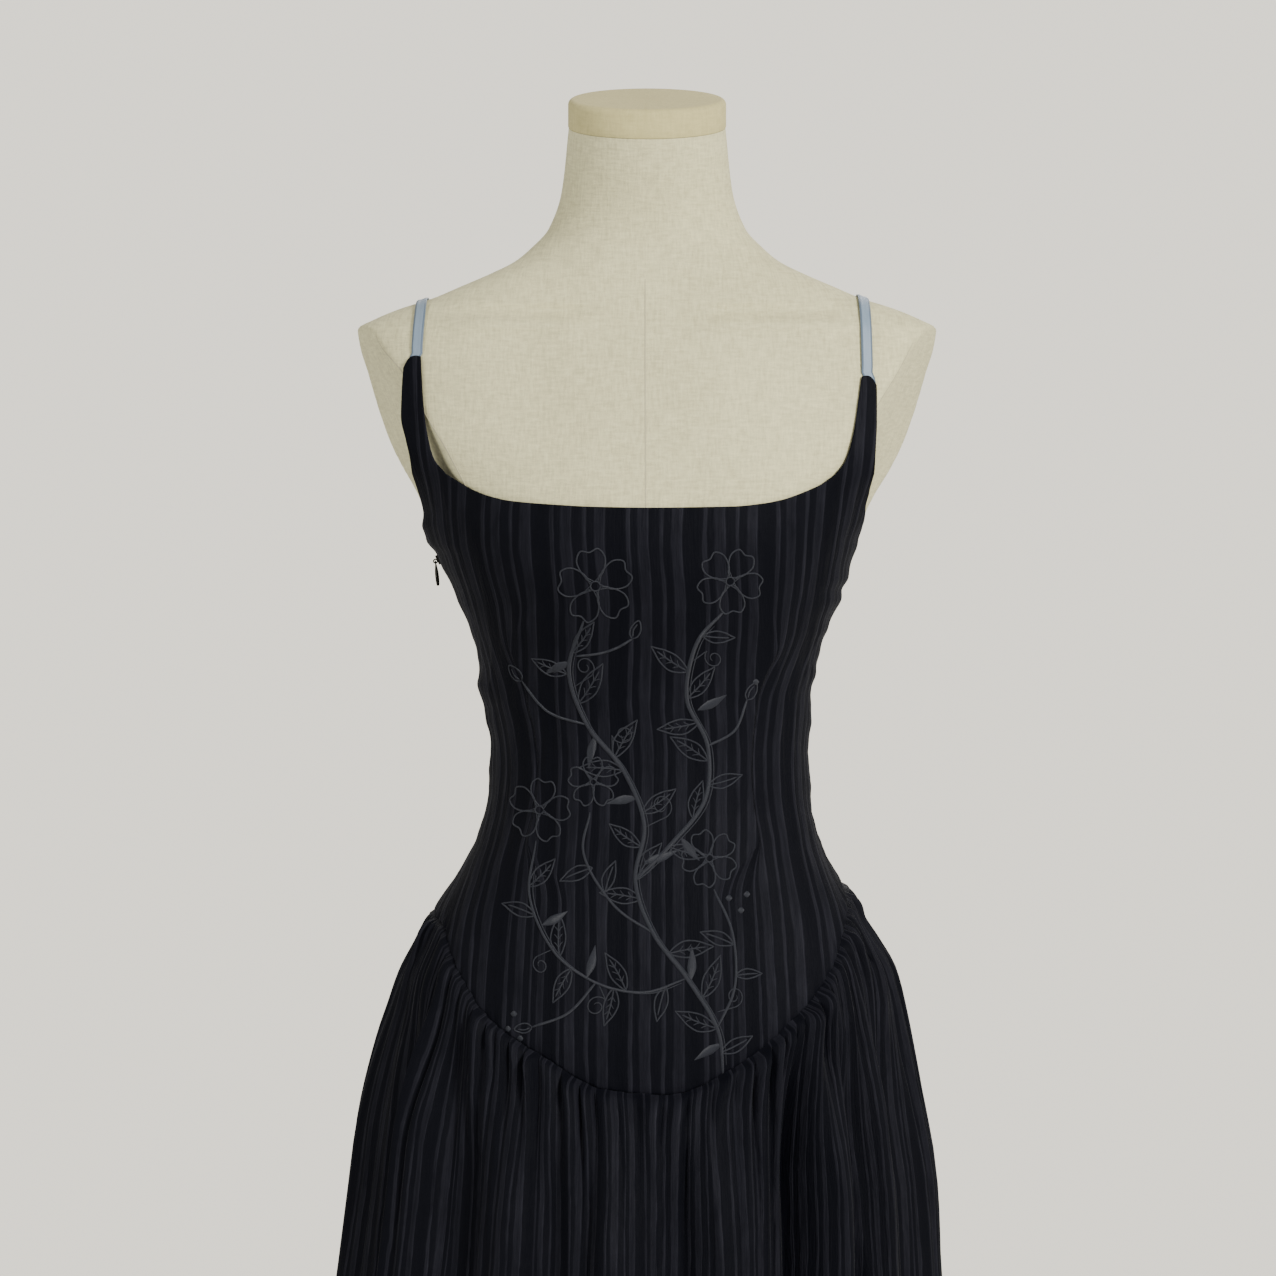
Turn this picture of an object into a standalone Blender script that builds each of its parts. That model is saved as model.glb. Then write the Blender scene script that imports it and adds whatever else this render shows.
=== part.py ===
"""Backless maxi dress standing on a limbless dress form.

Metres, +Z up. The front of the dress faces -Y, the floor is z = 0 and the stand's base is centred on the origin.
Angles run round the body as seen from above: 0 is the front, 90 the +X side, 180 the back.
Right and left in names are the wearer's, so the right side is at -X.
"""

import bisect
import math
from collections import namedtuple

import bmesh
import bpy
from mathutils import Matrix, Vector

# Cloth
BODICE_WALL = 0.0013
SKIRT_WALL = 0.0022
SEAM_GAP = 0.0003
STEEP_SEAM_GAP = 0.0006

# Body of the form. ease is the distance from the form to the outside of the bodice.
Body = namedtuple("Body", "z half_width front back power ease")
BODY = [
    Body(0.760, 0.148, 0.091, 0.102, 2.30, 0.0100),
    Body(0.800, 0.156, 0.100, 0.111, 2.30, 0.0100),
    Body(0.860, 0.158, 0.103, 0.115, 2.30, 0.0100),
    Body(0.905, 0.151, 0.100, 0.112, 2.25, 0.0090),
    Body(0.936, 0.1395, 0.096, 0.106, 2.20, 0.0075),
    Body(0.966, 0.122, 0.091, 0.097, 2.20, 0.0055),
    Body(0.990, 0.1125, 0.088, 0.090, 2.15, 0.0035),
    Body(1.020, 0.1075, 0.085, 0.085, 2.10, 0.0028),
    Body(1.050, 0.1062, 0.084, 0.083, 2.10, 0.0028),
    Body(1.081, 0.110, 0.087, 0.0835, 2.10, 0.0028),
    Body(1.115, 0.1143, 0.095, 0.085, 2.15, 0.0028),
    Body(1.149, 0.1266, 0.106, 0.089, 2.20, 0.0028),
    Body(1.177, 0.1377, 0.1132, 0.093, 2.25, 0.0028),
    Body(1.197, 0.1468, 0.1145, 0.096, 2.30, 0.0028),
    Body(1.222, 0.159, 0.1118, 0.097, 2.35, 0.0028),
    Body(1.241, 0.1735, 0.106, 0.096, 2.40, 0.0028),
    Body(1.257, 0.184, 0.0995, 0.094, 2.40, 0.0028),
    Body(1.278, 0.191, 0.088, 0.089, 2.40, 0.0028),
    Body(1.306, 0.196, 0.076, 0.080, 2.35, 0.0028),
    Body(1.322, 0.200, 0.068, 0.070, 2.25, 0.0028),
    Body(1.333, 0.199, 0.062, 0.062, 2.15, 0.0028),
    Body(1.341, 0.185, 0.057, 0.056, 2.10, 0.0028),
    Body(1.348, 0.168, 0.053, 0.052, 2.05, 0.0028),
    Body(1.355, 0.146, 0.050, 0.051, 2.00, 0.0028),
    Body(1.363, 0.127, 0.048, 0.052, 2.00, 0.0028),
    Body(1.372, 0.106, 0.047, 0.053, 2.00, 0.0028),
    Body(1.380, 0.090, 0.046, 0.053, 2.00, 0.0028),
    Body(1.389, 0.079, 0.045, 0.053, 2.00, 0.0028),
    Body(1.402, 0.067, 0.045, 0.053, 2.00, 0.0028),
    Body(1.427, 0.058, 0.046, 0.053, 2.00, 0.0028),
    Body(1.470, 0.053, 0.050, 0.052, 2.00, 0.0028),
]
FORM_COLUMNS = 40

# The waist stands a little to the wearer's left of x = 0, and the bust line a little to the right
Sway = namedtuple("Sway", "z x")
SWAY = [
    Sway(0.975, 0.0000),
    Sway(1.008, 0.0014),
    Sway(1.040, 0.0018),
    Sway(1.064, 0.0013),
    Sway(1.084, 0.0000),
    Sway(1.106, 0.0003),
    Sway(1.126, 0.0010),
    Sway(1.147, 0.0012),
    Sway(1.163, 0.0002),
    Sway(1.178, -0.0009),
    Sway(1.191, -0.0015),
    Sway(1.205, -0.0015),
    Sway(1.234, 0.0000),
]

# Flat plates where the arms would be, as a point on the plate at +X and its outward direction.
# A second plane runs each plate out into the side of the body, and nothing is cut below ARM_CUT_FLOOR.
ARM_PLATE_POINT = Vector((0.193, -0.010, 1.335))
ARM_PLATE_NORMAL = Vector((0.876, -0.330, -0.350))
UNDERARM_POINT = Vector((0.139, -0.010, 1.200))
UNDERARM_NORMAL = Vector((0.876, -0.330, -0.070))
ARM_CUT_FLOOR = 1.120
ARM_CUTTER_SIZE = 0.5

# Neck, which leans forward above NECK_BEND, and its cap
NECK_BEND = 1.385
NECK_LEAN = math.radians(14.0)
NECK_FORWARD = 0.010
CAP_RADIUS = 0.0535
CAP_DEPTH = 0.0505
CAP_HEIGHT = 0.019
CAP_ROUNDING = 0.004
CAP_SEGMENTS = 40

# Stand
POLE_RADIUS = 0.016
BASE_RADIUS = 0.185
BASE_HEIGHT = 0.014
BASE_ROUNDING = 0.004
STAND_SEGMENTS = 40
SEAT_GAP = 0.0003

# Neckline, a superellipse hung between the two points of the bodice
NECK_CENTRE = -0.0055
NECK_HALF_WIDTH = 0.151
NECK_TOP = 1.317
NECK_DEPTH = 0.103
NECK_POWER = 4.5

# Points of the bodice that carry the straps: distance from x = 0 of both edges
Point = namedtuple("Point", "z outer inner")
RIGHT_POINT = [
    Point(1.2360, 0.1575, 0.1335),
    Point(1.2460, 0.1583, 0.1417),
    Point(1.2580, 0.1608, 0.1452),
    Point(1.2740, 0.1645, 0.1480),
    Point(1.2920, 0.1640, 0.1500),
    Point(1.3150, 0.1622, 0.1518),
]
LEFT_POINT = [
    Point(1.2360, 0.1510, 0.1245),
    Point(1.2450, 0.1516, 0.1315),
    Point(1.2560, 0.1522, 0.1352),
    Point(1.2700, 0.1529, 0.1385),
    Point(1.2850, 0.1530, 0.1410),
    Point(1.3015, 0.1525, 0.1434),
]

# Armhole edge of the bodice front, from the foot of the points to the top of the side seams
SIDE_SEAM_TOP = 1.1875
ARMHOLE_HOLLOW = 0.0011

# Seam between bodice and skirt, dropped to a rounded point in front
Seam = namedtuple("Seam", "angle z")
SEAM = [
    Seam(-90, 0.937),
    Seam(-68, 0.932),
    Seam(-52, 0.908),
    Seam(-37, 0.877),
    Seam(-20, 0.851),
    Seam(-8, 0.832),
    Seam(3, 0.828),
    Seam(16, 0.844),
    Seam(32, 0.874),
    Seam(46, 0.901),
    Seam(62, 0.931),
    Seam(90, 0.955),
    Seam(130, 0.930),
    Seam(180, 0.912),
    Seam(230, 0.921),
    Seam(270, 0.937),
]

# Top edge of the low back
BackTop = namedtuple("BackTop", "angle z")
BACK_TOP = [
    BackTop(90, SIDE_SEAM_TOP),
    BackTop(101, 1.152),
    BackTop(116, 1.108),
    BackTop(134, 1.068),
    BackTop(156, 1.046),
    BackTop(180, 1.040),
    BackTop(204, 1.046),
    BackTop(226, 1.068),
    BackTop(244, 1.108),
    BackTop(259, 1.152),
    BackTop(270, SIDE_SEAM_TOP),
]

# Grid of the bodice. CORNER_ANGLE is where the line down from a neckline corner ends, in degrees.
CORNER_ANGLE = 58
SIDE_COLUMNS = 6
CENTRE_COLUMNS = 20
BACK_COLUMNS = 28
BODICE_ROWS = 12
ARMHOLE_ROWS = 2
BACK_ROWS = 7

# Skirt without its folds
Skirt = namedtuple("Skirt", "z right left front back")
SKIRT = [
    Skirt(0.075, 0.285, 0.257, 0.232, 0.238),
    Skirt(0.300, 0.260, 0.234, 0.206, 0.214),
    Skirt(0.500, 0.234, 0.2145, 0.180, 0.191),
    Skirt(0.686, 0.2065, 0.197, 0.153, 0.166),
    Skirt(0.755, 0.1975, 0.192, 0.143, 0.157),
    Skirt(0.800, 0.1915, 0.1845, 0.136, 0.151),
    Skirt(0.842, 0.183, 0.178, 0.128, 0.144),
    Skirt(0.870, 0.1755, 0.1735, 0.124, 0.139),
    Skirt(0.897, 0.168, 0.168, 0.118, 0.131),
    Skirt(0.920, 0.1545, 0.155, 0.113, 0.124),
    Skirt(0.937, 0.143, 0.142, 0.108, 0.117),
    Skirt(0.957, 0.136, 0.134, 0.104, 0.112),
]
HEM = 0.075
SKIRT_POWER = 2.05
PUFF_LENGTH = 0.022
SKIRT_PROUD = 0.0012
ROWS_BELOW_SEAM = [0.0, 0.009, 0.024, 0.048, 0.090, 0.150]
ROWS_TO_HEM = 3

# Gathers at the seam, four columns of the grid to each
FRONT_GATHERS = 33
BACK_GATHERS = 30
COLUMNS_A_GATHER = 4
GATHER_AT_SEAM = 0.0010
GATHER_HEIGHT = 0.0036
GATHER_PEAK = 0.014
GATHER_LENGTH = 0.045
SIDE_CALM = 0.25
CALM_REACH = 30

# Large folds: angle at the seam and at the hem, and height over the plain skirt (negative for a groove)
Fold = namedtuple("Fold", "top hem height")
FRONT_FOLDS = [
    Fold(-90, -90, 0.000),
    Fold(-81, -80, 0.007),
    Fold(-62, -60, -0.011),
    Fold(-51, -50, 0.014),
    Fold(-38, -36, -0.009),
    Fold(-27, -26, 0.008),
    Fold(-18, -18, -0.007),
    Fold(-6, -5, 0.008),
    Fold(4, 5, -0.008),
    Fold(14, 13, 0.009),
    Fold(34, 27, -0.016),
    Fold(41, 34, 0.012),
    Fold(48, 42, -0.010),
    Fold(54, 49, 0.010),
    Fold(65, 61, -0.010),
    Fold(77, 74, 0.008),
    Fold(90, 90, 0.000),
]
BACK_FOLDS = [
    Fold(90, 90, 0.000),
    Fold(99, 100, 0.009),
    Fold(107, 108, -0.010),
    Fold(117, 117, 0.012),
    Fold(127, 126, -0.009),
    Fold(136, 137, 0.010),
    Fold(144, 146, -0.013),
    Fold(155, 156, 0.011),
    Fold(166, 165, -0.008),
    Fold(176, 175, 0.012),
    Fold(186, 187, -0.012),
    Fold(197, 196, 0.009),
    Fold(206, 206, -0.010),
    Fold(216, 218, 0.013),
    Fold(226, 227, -0.009),
    Fold(236, 235, 0.010),
    Fold(246, 247, -0.012),
    Fold(257, 257, 0.009),
    Fold(270, 270, 0.000),
]
FOLD_START = 0.015
FOLD_LENGTH = 0.150
FOLD_GROWTH = 0.5

# Straps, flat ribbons over the shoulders and down the bare back.
# Each lies at a distance from x = 0 that changes a little between its point and the shoulder.
StrapPlace = namedtuple("StrapPlace", "at_point at_shoulder")
STRAP_PLACES = {-1: StrapPlace(0.1538, 0.1523), 1: StrapPlace(0.1460, 0.1461)}
STRAP_WIDTH = 0.0076
STRAP_THICKNESS = 0.0011
STRAP_CLEARANCE = 0.0014
STRAP_FOOT = 0.078
STRAP_FOOT_GAP = 0.0012
SHOULDER_REACH = 0.030
STRAP_FRONT_ROWS = 5
STRAP_SHOULDER_ROWS = 16
STRAP_BACK_ROWS = 16
STRAP_BACK_CROWDING = 1.6

# Slider and pull of the zip in the right side seam
SLIDER_Z = 1.1775
SLIDER_GAP = 0.0006
SLIDER_WIDTH = 0.0048
SLIDER_LENGTH = 0.0068
SLIDER_THICKNESS = 0.0016
BRIDGE_RADIUS = 0.0013
BRIDGE_WIRE = 0.00045
PULL_EYE = 0.0009
PULL_LEAN = 6.0
PULL_SEGMENTS = 12

# Sections of the drop-shaped pull, at heights from the centre of its eye
Drop = namedtuple("Drop", "height half_width half_depth")
PULL = [
    Drop(-0.0157, 0.0005, 0.00035),
    Drop(-0.0153, 0.0011, 0.00085),
    Drop(-0.0143, 0.0016, 0.00110),
    Drop(-0.0122, 0.0020, 0.00125),
    Drop(-0.0096, 0.0022, 0.00135),
    Drop(-0.0070, 0.0021, 0.00130),
    Drop(-0.0044, 0.0018, 0.00105),
    Drop(-0.0024, 0.0016, 0.00075),
    Drop(-0.0011, 0.0017, 0.00055),
    Drop(0.0001, 0.0018, 0.00050),
    Drop(0.0011, 0.0015, 0.00048),
    Drop(0.0015, 0.0010, 0.00042),
    Drop(0.0017, 0.0004, 0.00025),
]

# Colours as seen in plain light: red, green, blue, roughness, metallic
Finish = namedtuple("Finish", "red green blue roughness metallic")
FINISHES = {
    "dress_cloth": Finish(0.012, 0.013, 0.016, 0.70, 0.0),
    "strap_ribbon": Finish(0.330, 0.400, 0.460, 0.60, 0.0),
    "zip_metal": Finish(0.045, 0.045, 0.050, 0.35, 1.0),
    "form_linen": Finish(0.580, 0.530, 0.410, 0.85, 0.0),
    "form_cap": Finish(0.560, 0.500, 0.360, 0.55, 0.0),
    "stand_paint": Finish(0.600, 0.560, 0.450, 0.45, 0.0),
}


def row_at(rows, key):
    """Cubic curve through the rows of a table, which are sorted by their first column."""
    keys = [row[0] for row in rows]
    key = min(max(key, keys[0]), keys[-1])
    low = min(max(bisect.bisect_right(keys, key) - 1, 0), len(rows) - 2)
    span = keys[low + 1] - keys[low]
    t = (key - keys[low]) / span
    values = [key]
    for column in range(1, len(rows[0])):
        start_slope = column_slope(rows, low, column) * span
        end_slope = column_slope(rows, low + 1, column) * span
        start = rows[low][column]
        end = rows[low + 1][column]
        values.append(
            (2 * t**3 - 3 * t**2 + 1) * start
            + (t**3 - 2 * t**2 + t) * start_slope
            + (3 * t**2 - 2 * t**3) * end
            + (t**3 - t**2) * end_slope
        )
    return type(rows[0])(*values)


def column_slope(rows, index, column):
    """Slope of a table's column at one row, level where the column turns back."""
    if index in (0, len(rows) - 1):
        near = min(max(index, 1), len(rows) - 1)
        return (rows[near][column] - rows[near - 1][column]) / (rows[near][0] - rows[near - 1][0])
    before = (rows[index][column] - rows[index - 1][column]) / (rows[index][0] - rows[index - 1][0])
    after = (rows[index + 1][column] - rows[index][column]) / (rows[index + 1][0] - rows[index][0])
    if before * after <= 0:
        return 0.0
    return 2 * before * after / (before + after)


def smooth_step(t):
    """Rises from 0 to 1 as t does, level at both ends."""
    t = min(max(t, 0.0), 1.0)
    return t * t * (3 - 2 * t)


def signed_power(value, power):
    return math.copysign(abs(value) ** power, value)


def oval(angle, right, left, front, back, power):
    """Point of a closed oval section at an angle in radians."""
    sine = math.sin(angle)
    cosine = math.cos(angle)
    half_width = left if sine >= 0 else right
    depth = front if cosine >= 0 else back
    x = half_width * signed_power(sine, 2 / power)
    y = -depth * signed_power(cosine, 2 / power)
    return x, y


def body_point(angle, z, out):
    """Point of the form's surface, moved out level by a distance."""
    body = row_at(BODY, z)
    width = body.half_width + out
    x, y = oval(angle, width, width, body.front + out, body.back + out, body.power)
    return Vector((x + row_at(SWAY, z).x, y, z))


def bodice_point(angle, z, depth):
    """Point of the bodice, at a depth below its outside."""
    return body_point(angle, z, row_at(BODY, z).ease - depth)


def front_angle(x, z):
    """Angle in radians of the bodice front's point at x."""
    body = row_at(BODY, z)
    x = x - row_at(SWAY, z).x
    share = min(abs(x) / (body.half_width + body.ease), 1.0)
    return math.copysign(math.asin(share ** (body.power / 2)), x)


def finish(name):
    """Material of a given name."""
    material = bpy.data.materials.get(name)
    if material:
        return material
    values = FINISHES[name]
    material = bpy.data.materials.new(name)
    material.use_nodes = True
    shader = material.node_tree.nodes["Principled BSDF"]
    shader.inputs["Base Color"].default_value = (values.red, values.green, values.blue, 1.0)
    shader.inputs["Roughness"].default_value = values.roughness
    shader.inputs["Metallic"].default_value = values.metallic
    return material


def make_object(name, material_name, points, faces):
    """Object from points and faces."""
    mesh = bpy.data.meshes.new(name)
    mesh.from_pydata([tuple(point) for point in points], [], faces)
    mesh.materials.append(finish(material_name))
    thing = bpy.data.objects.new(name, mesh)
    bpy.context.scene.collection.objects.link(thing)
    return thing


def make_wall(name, material_name, outer, inner, quads):
    """Closed wall between two sheets of points that share their quads."""
    shift = len(outer)
    edges = {}
    for quad in quads:
        for start, end in zip(quad, quad[1:] + quad[:1]):
            edges[(start, end)] = True
    rim = [
        (end, start, start + shift, end + shift)
        for start, end in edges
        if (end, start) not in edges
    ]
    inside = [tuple(index + shift for index in reversed(quad)) for quad in quads]
    return make_object(name, material_name, outer + inner, quads + inside + rim)


def make_loft(name, material_name, rings):
    """Closed solid through rings of points, listed from the bottom up."""
    count = len(rings[0])
    points = [point for ring in rings for point in ring]
    faces = [tuple(reversed(range(count)))]
    for row in range(len(rings) - 1):
        for column in range(count):
            after = (column + 1) % count
            low = row * count
            high = low + count
            faces.append((low + column, low + after, high + after, high + column))
    faces.append(tuple(range(len(points) - count, len(points))))
    return make_object(name, material_name, points, faces)


def grid_quads(columns):
    """Quads between neighbouring columns. Each column is a table of row number to point index."""
    quads = []
    for near, far in zip(columns, columns[1:]):
        for row in sorted(near):
            if row + 1 in near and row in far and row + 1 in far:
                quads.append((near[row], near[row + 1], far[row + 1], far[row]))
    return quads


def part_at_side_seam(point, gap):
    """Moves an edge point off the plane of the side seams, to the side that gap's sign gives."""
    return Vector((point.x, math.copysign(max(abs(point.y), abs(gap)), gap), point.z))


def leaning(point):
    """Point of the neck after its lean."""
    share = smooth_step((point.z - NECK_BEND) / (BODY[-1].z - NECK_BEND))
    return Vector((point.x, point.y - NECK_FORWARD * share, point.z + point.y * math.tan(NECK_LEAN) * share))


def combine(target, other, operation):
    """Joins another object's solid to a target, or cuts it away, and removes it."""
    boolean = target.modifiers.new("combine", "BOOLEAN")
    boolean.operation = operation
    boolean.solver = "EXACT"
    boolean.object = other
    graph = bpy.context.evaluated_depsgraph_get()
    mesh = bpy.data.meshes.new_from_object(target.evaluated_get(graph))
    target.modifiers.clear()
    target.data = mesh
    bpy.data.objects.remove(other)


def arm_cutter(side):
    """Solid of everything outside an arm plate."""
    half = ARM_CUTTER_SIZE / 2
    bpy.ops.mesh.primitive_cube_add(size=ARM_CUTTER_SIZE, location=(side * half, 0, ARM_CUT_FLOOR + half))
    cutter = bpy.context.object
    bpy.ops.object.transform_apply(location=True)
    shape = bmesh.new()
    shape.from_mesh(cutter.data)
    mirrored = Vector((side, 1, 1))
    for point, normal in ((ARM_PLATE_POINT, ARM_PLATE_NORMAL), (UNDERARM_POINT, UNDERARM_NORMAL)):
        cut = bmesh.ops.bisect_plane(
            shape,
            geom=shape.verts[:] + shape.edges[:] + shape.faces[:],
            plane_co=point * mirrored,
            plane_no=normal * mirrored,
            clear_inner=True,
        )
        edges = [item for item in cut["geom_cut"] if isinstance(item, bmesh.types.BMEdge)]
        bmesh.ops.edgeloop_fill(shape, edges=edges)
    bmesh.ops.recalc_face_normals(shape, faces=shape.faces[:])
    shape.to_mesh(cutter.data)
    shape.free()
    return cutter


def build_torso():
    """Torso of the form, with its arms cut off at two flat plates."""
    rings = []
    for body in BODY:
        angles = [2 * math.pi * index / FORM_COLUMNS for index in range(FORM_COLUMNS)]
        rings.append([leaning(body_point(angle, body.z, 0.0)) for angle in angles])
    torso = make_loft("form_torso", "form_linen", rings)
    combine(torso, arm_cutter(-1), "DIFFERENCE")
    combine(torso, arm_cutter(1), "DIFFERENCE")


def build_neck_cap():
    """Flat cap on the leaning neck, with a rounded upper edge."""
    steps = [
        (0.0, 0.0),
        (0.0, CAP_HEIGHT - CAP_ROUNDING),
        (0.3 * CAP_ROUNDING, CAP_HEIGHT - 0.3 * CAP_ROUNDING),
        (CAP_ROUNDING, CAP_HEIGHT),
    ]
    rings = []
    for inset, height in steps:
        ring = []
        for index in range(CAP_SEGMENTS):
            angle = 2 * math.pi * index / CAP_SEGMENTS
            x, y = oval(angle, CAP_RADIUS - inset, CAP_RADIUS - inset, CAP_DEPTH - inset, CAP_DEPTH - inset, 2.0)
            lift = BODY[-1].z + SEAT_GAP + height + y * math.tan(NECK_LEAN)
            ring.append(Vector((x, y - NECK_FORWARD, lift)))
        rings.append(ring)
    make_loft("form_neck_cap", "form_cap", rings)


def circle_ring(radius, z, segments):
    angles = [2 * math.pi * index / segments for index in range(segments)]
    return [Vector((radius * math.sin(angle), -radius * math.cos(angle), z)) for angle in angles]


def build_stand():
    """Pole up to the torso's underside, and round base on the floor."""
    pole_rings = [
        circle_ring(POLE_RADIUS, BASE_HEIGHT + SEAT_GAP, STAND_SEGMENTS // 2),
        circle_ring(POLE_RADIUS, BODY[0].z - SEAT_GAP, STAND_SEGMENTS // 2),
    ]
    make_loft("form_pole", "stand_paint", pole_rings)
    base_rings = [
        circle_ring(BASE_RADIUS, 0.0, STAND_SEGMENTS),
        circle_ring(BASE_RADIUS, BASE_HEIGHT - BASE_ROUNDING, STAND_SEGMENTS),
        circle_ring(BASE_RADIUS - 0.3 * BASE_ROUNDING, BASE_HEIGHT - 0.3 * BASE_ROUNDING, STAND_SEGMENTS),
        circle_ring(BASE_RADIUS - BASE_ROUNDING, BASE_HEIGHT, STAND_SEGMENTS),
    ]
    make_loft("form_base", "stand_paint", base_rings)


def neckline_z(x):
    """Height of the neckline at x."""
    share = min(abs(x - NECK_CENTRE) / NECK_HALF_WIDTH, 1.0)
    return NECK_TOP - NECK_DEPTH * (1 - share**NECK_POWER) ** (1 / NECK_POWER)


def seam_z(angle):
    """Height of the seam between bodice and skirt at an angle in degrees."""
    return row_at(SEAM, angle).z


def sewn_z(angle):
    """Height of the bodice's lower edge at an angle in degrees, on the lines between its columns."""
    if angle > 90:
        start, step = 90, 180 / BACK_COLUMNS
    elif abs(angle) > CORNER_ANGLE:
        start, step = 90, (90 - CORNER_ANGLE) / SIDE_COLUMNS
    else:
        start, step = CORNER_ANGLE, 2 * CORNER_ANGLE / CENTRE_COLUMNS
    turns = (angle - start) / step
    low = math.floor(turns)
    if abs(angle) > CORNER_ANGLE and angle < 0:
        low = math.floor((angle + 90) / step)
        turns = (angle + 90) / step
        start = -90
    before = seam_z(start + low * step)
    after = seam_z(start + (low + 1) * step)
    return before + (after - before) * (turns - low)


def armhole_x(side, edge_foot, z):
    """Distance from x = 0 of the armhole edge, between the top of the side seam and the foot of a point."""
    share = (z - SIDE_SEAM_TOP) / (edge_foot.z - SIDE_SEAM_TOP)
    body = row_at(BODY, SIDE_SEAM_TOP)
    seam_x = body.half_width + body.ease + side * row_at(SWAY, SIDE_SEAM_TOP).x
    return seam_x + (edge_foot.outer - seam_x) * share - ARMHOLE_HOLLOW * math.sin(math.pi * share)


def outer_angle(side, point_rows, z):
    """Angle in radians of the bodice front's outer edge."""
    if z <= SIDE_SEAM_TOP:
        return side * math.pi / 2
    if z <= point_rows[0].z:
        return front_angle(side * armhole_x(side, point_rows[0], z), z)
    return front_angle(side * row_at(point_rows, z).outer, z)


def corner_angle(side, point_rows, z):
    """Angle in radians of the line down from the inner corner of a point."""
    foot = point_rows[0]
    if z >= foot.z:
        return front_angle(side * row_at(point_rows, z).inner, z)
    start = front_angle(side * foot.inner, foot.z)
    low = side * math.radians(CORNER_ANGLE)
    return start + (low - start) * smooth_step((foot.z - z) / 0.09)


def side_column(side, point_rows, share):
    """Angle and height of each row of a column beside the neckline. share is 0 at the side seam."""
    foot = point_rows[0]
    column = {}
    for row in range(1, len(point_rows)):
        z = point_rows[row].z
        outer = outer_angle(side, point_rows, z)
        inner = corner_angle(side, point_rows, z)
        column[-row] = (outer + (inner - outer) * share, z)
    for row in range(BODICE_ROWS + 1):
        if row <= ARMHOLE_ROWS:
            edge_z = foot.z + (SIDE_SEAM_TOP - foot.z) * row / ARMHOLE_ROWS
        else:
            below = (row - ARMHOLE_ROWS) / (BODICE_ROWS - ARMHOLE_ROWS)
            edge_z = SIDE_SEAM_TOP + (seam_z(side * 90) - SIDE_SEAM_TOP) * below
        inner_top = neckline_z(side * foot.inner)
        low_angle = side * (90 + (CORNER_ANGLE - 90) * share)
        inner_z = inner_top + (seam_z(side * CORNER_ANGLE) - inner_top) * row / BODICE_ROWS
        z = edge_z + (inner_z - edge_z) * share
        if row == BODICE_ROWS:
            z = seam_z(low_angle)
        outer = outer_angle(side, point_rows, z)
        inner = corner_angle(side, point_rows, z)
        column[row] = (outer + (inner - outer) * share, z)
    return column


def centre_column(share):
    """Angle and height of each row of a column below the neckline. share is 0 at the right and 1 at the left."""
    column = {}
    right_top = front_angle(-RIGHT_POINT[0].inner, RIGHT_POINT[0].z)
    left_top = front_angle(LEFT_POINT[0].inner, LEFT_POINT[0].z)
    top_angle = right_top + (left_top - right_top) * share
    body = row_at(BODY, NECK_TOP - NECK_DEPTH)
    top_x, _ = oval(top_angle, body.half_width, body.half_width, body.front, body.back, body.power)
    top_z = neckline_z(top_x * RIGHT_POINT[0].inner / abs(oval_x(right_top, body)))
    low_angle = math.radians(CORNER_ANGLE * (2 * share - 1))
    low_z = seam_z(math.degrees(low_angle))
    for row in range(BODICE_ROWS + 1):
        z = top_z + (low_z - top_z) * row / BODICE_ROWS
        right = corner_angle(-1, RIGHT_POINT, z)
        left = corner_angle(1, LEFT_POINT, z)
        column[row] = (right + (left - right) * share, z)
    return column


def oval_x(angle, body):
    return oval(angle, body.half_width, body.half_width, body.front, body.back, body.power)[0]


def build_bodice_front():
    """Front panel with its two points, from side seam to side seam."""
    shares = [index / SIDE_COLUMNS for index in range(SIDE_COLUMNS + 1)]
    columns = [side_column(-1, RIGHT_POINT, share) for share in shares]
    columns += [centre_column(index / CENTRE_COLUMNS) for index in range(1, CENTRE_COLUMNS)]
    columns += [side_column(1, LEFT_POINT, share) for share in reversed(shares)]
    outer = []
    inner = []
    numbered = []
    for column in columns:
        numbers = {}
        for row, (angle, z) in column.items():
            numbers[row] = len(outer)
            outer.append(part_at_side_seam(bodice_point(angle, z, 0.0), -SEAM_GAP / 2))
            inner.append(part_at_side_seam(bodice_point(angle, z, BODICE_WALL), -SEAM_GAP / 2))
        numbered.append(numbers)
    make_wall("bodice_front", "dress_cloth", outer, inner, grid_quads(numbered))


def build_bodice_back():
    """Low back panel, from side seam to side seam."""
    outer = []
    inner = []
    numbered = []
    for index in range(BACK_COLUMNS + 1):
        angle = 90 + 180 * index / BACK_COLUMNS
        top = row_at(BACK_TOP, angle).z
        low = seam_z(angle)
        numbers = {}
        for row in range(BACK_ROWS + 1):
            z = top + (low - top) * row / BACK_ROWS
            numbers[row] = len(outer)
            outer.append(part_at_side_seam(bodice_point(math.radians(angle), z, 0.0), SEAM_GAP / 2))
            inner.append(part_at_side_seam(bodice_point(math.radians(angle), z, BODICE_WALL), SEAM_GAP / 2))
        numbered.append(numbers)
    make_wall("bodice_back", "dress_cloth", outer, inner, grid_quads(numbered))


def along_folds(folds, angle, down):
    """Angle in degrees of a column that starts at an angle of the seam and follows the folds, and their height there.

    down is 0 at the seam and 1 at the hem.
    """
    tops = [fold.top for fold in folds]
    low = min(max(bisect.bisect_right(tops, angle) - 1, 0), len(folds) - 2)
    before = folds[low]
    after = folds[low + 1]
    share = (angle - before.top) / (after.top - before.top)
    hem_angle = before.hem + (after.hem - before.hem) * share
    height = before.height + (after.height - before.height) * smooth_step(share)
    return angle + (hem_angle - angle) * down, height


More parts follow.
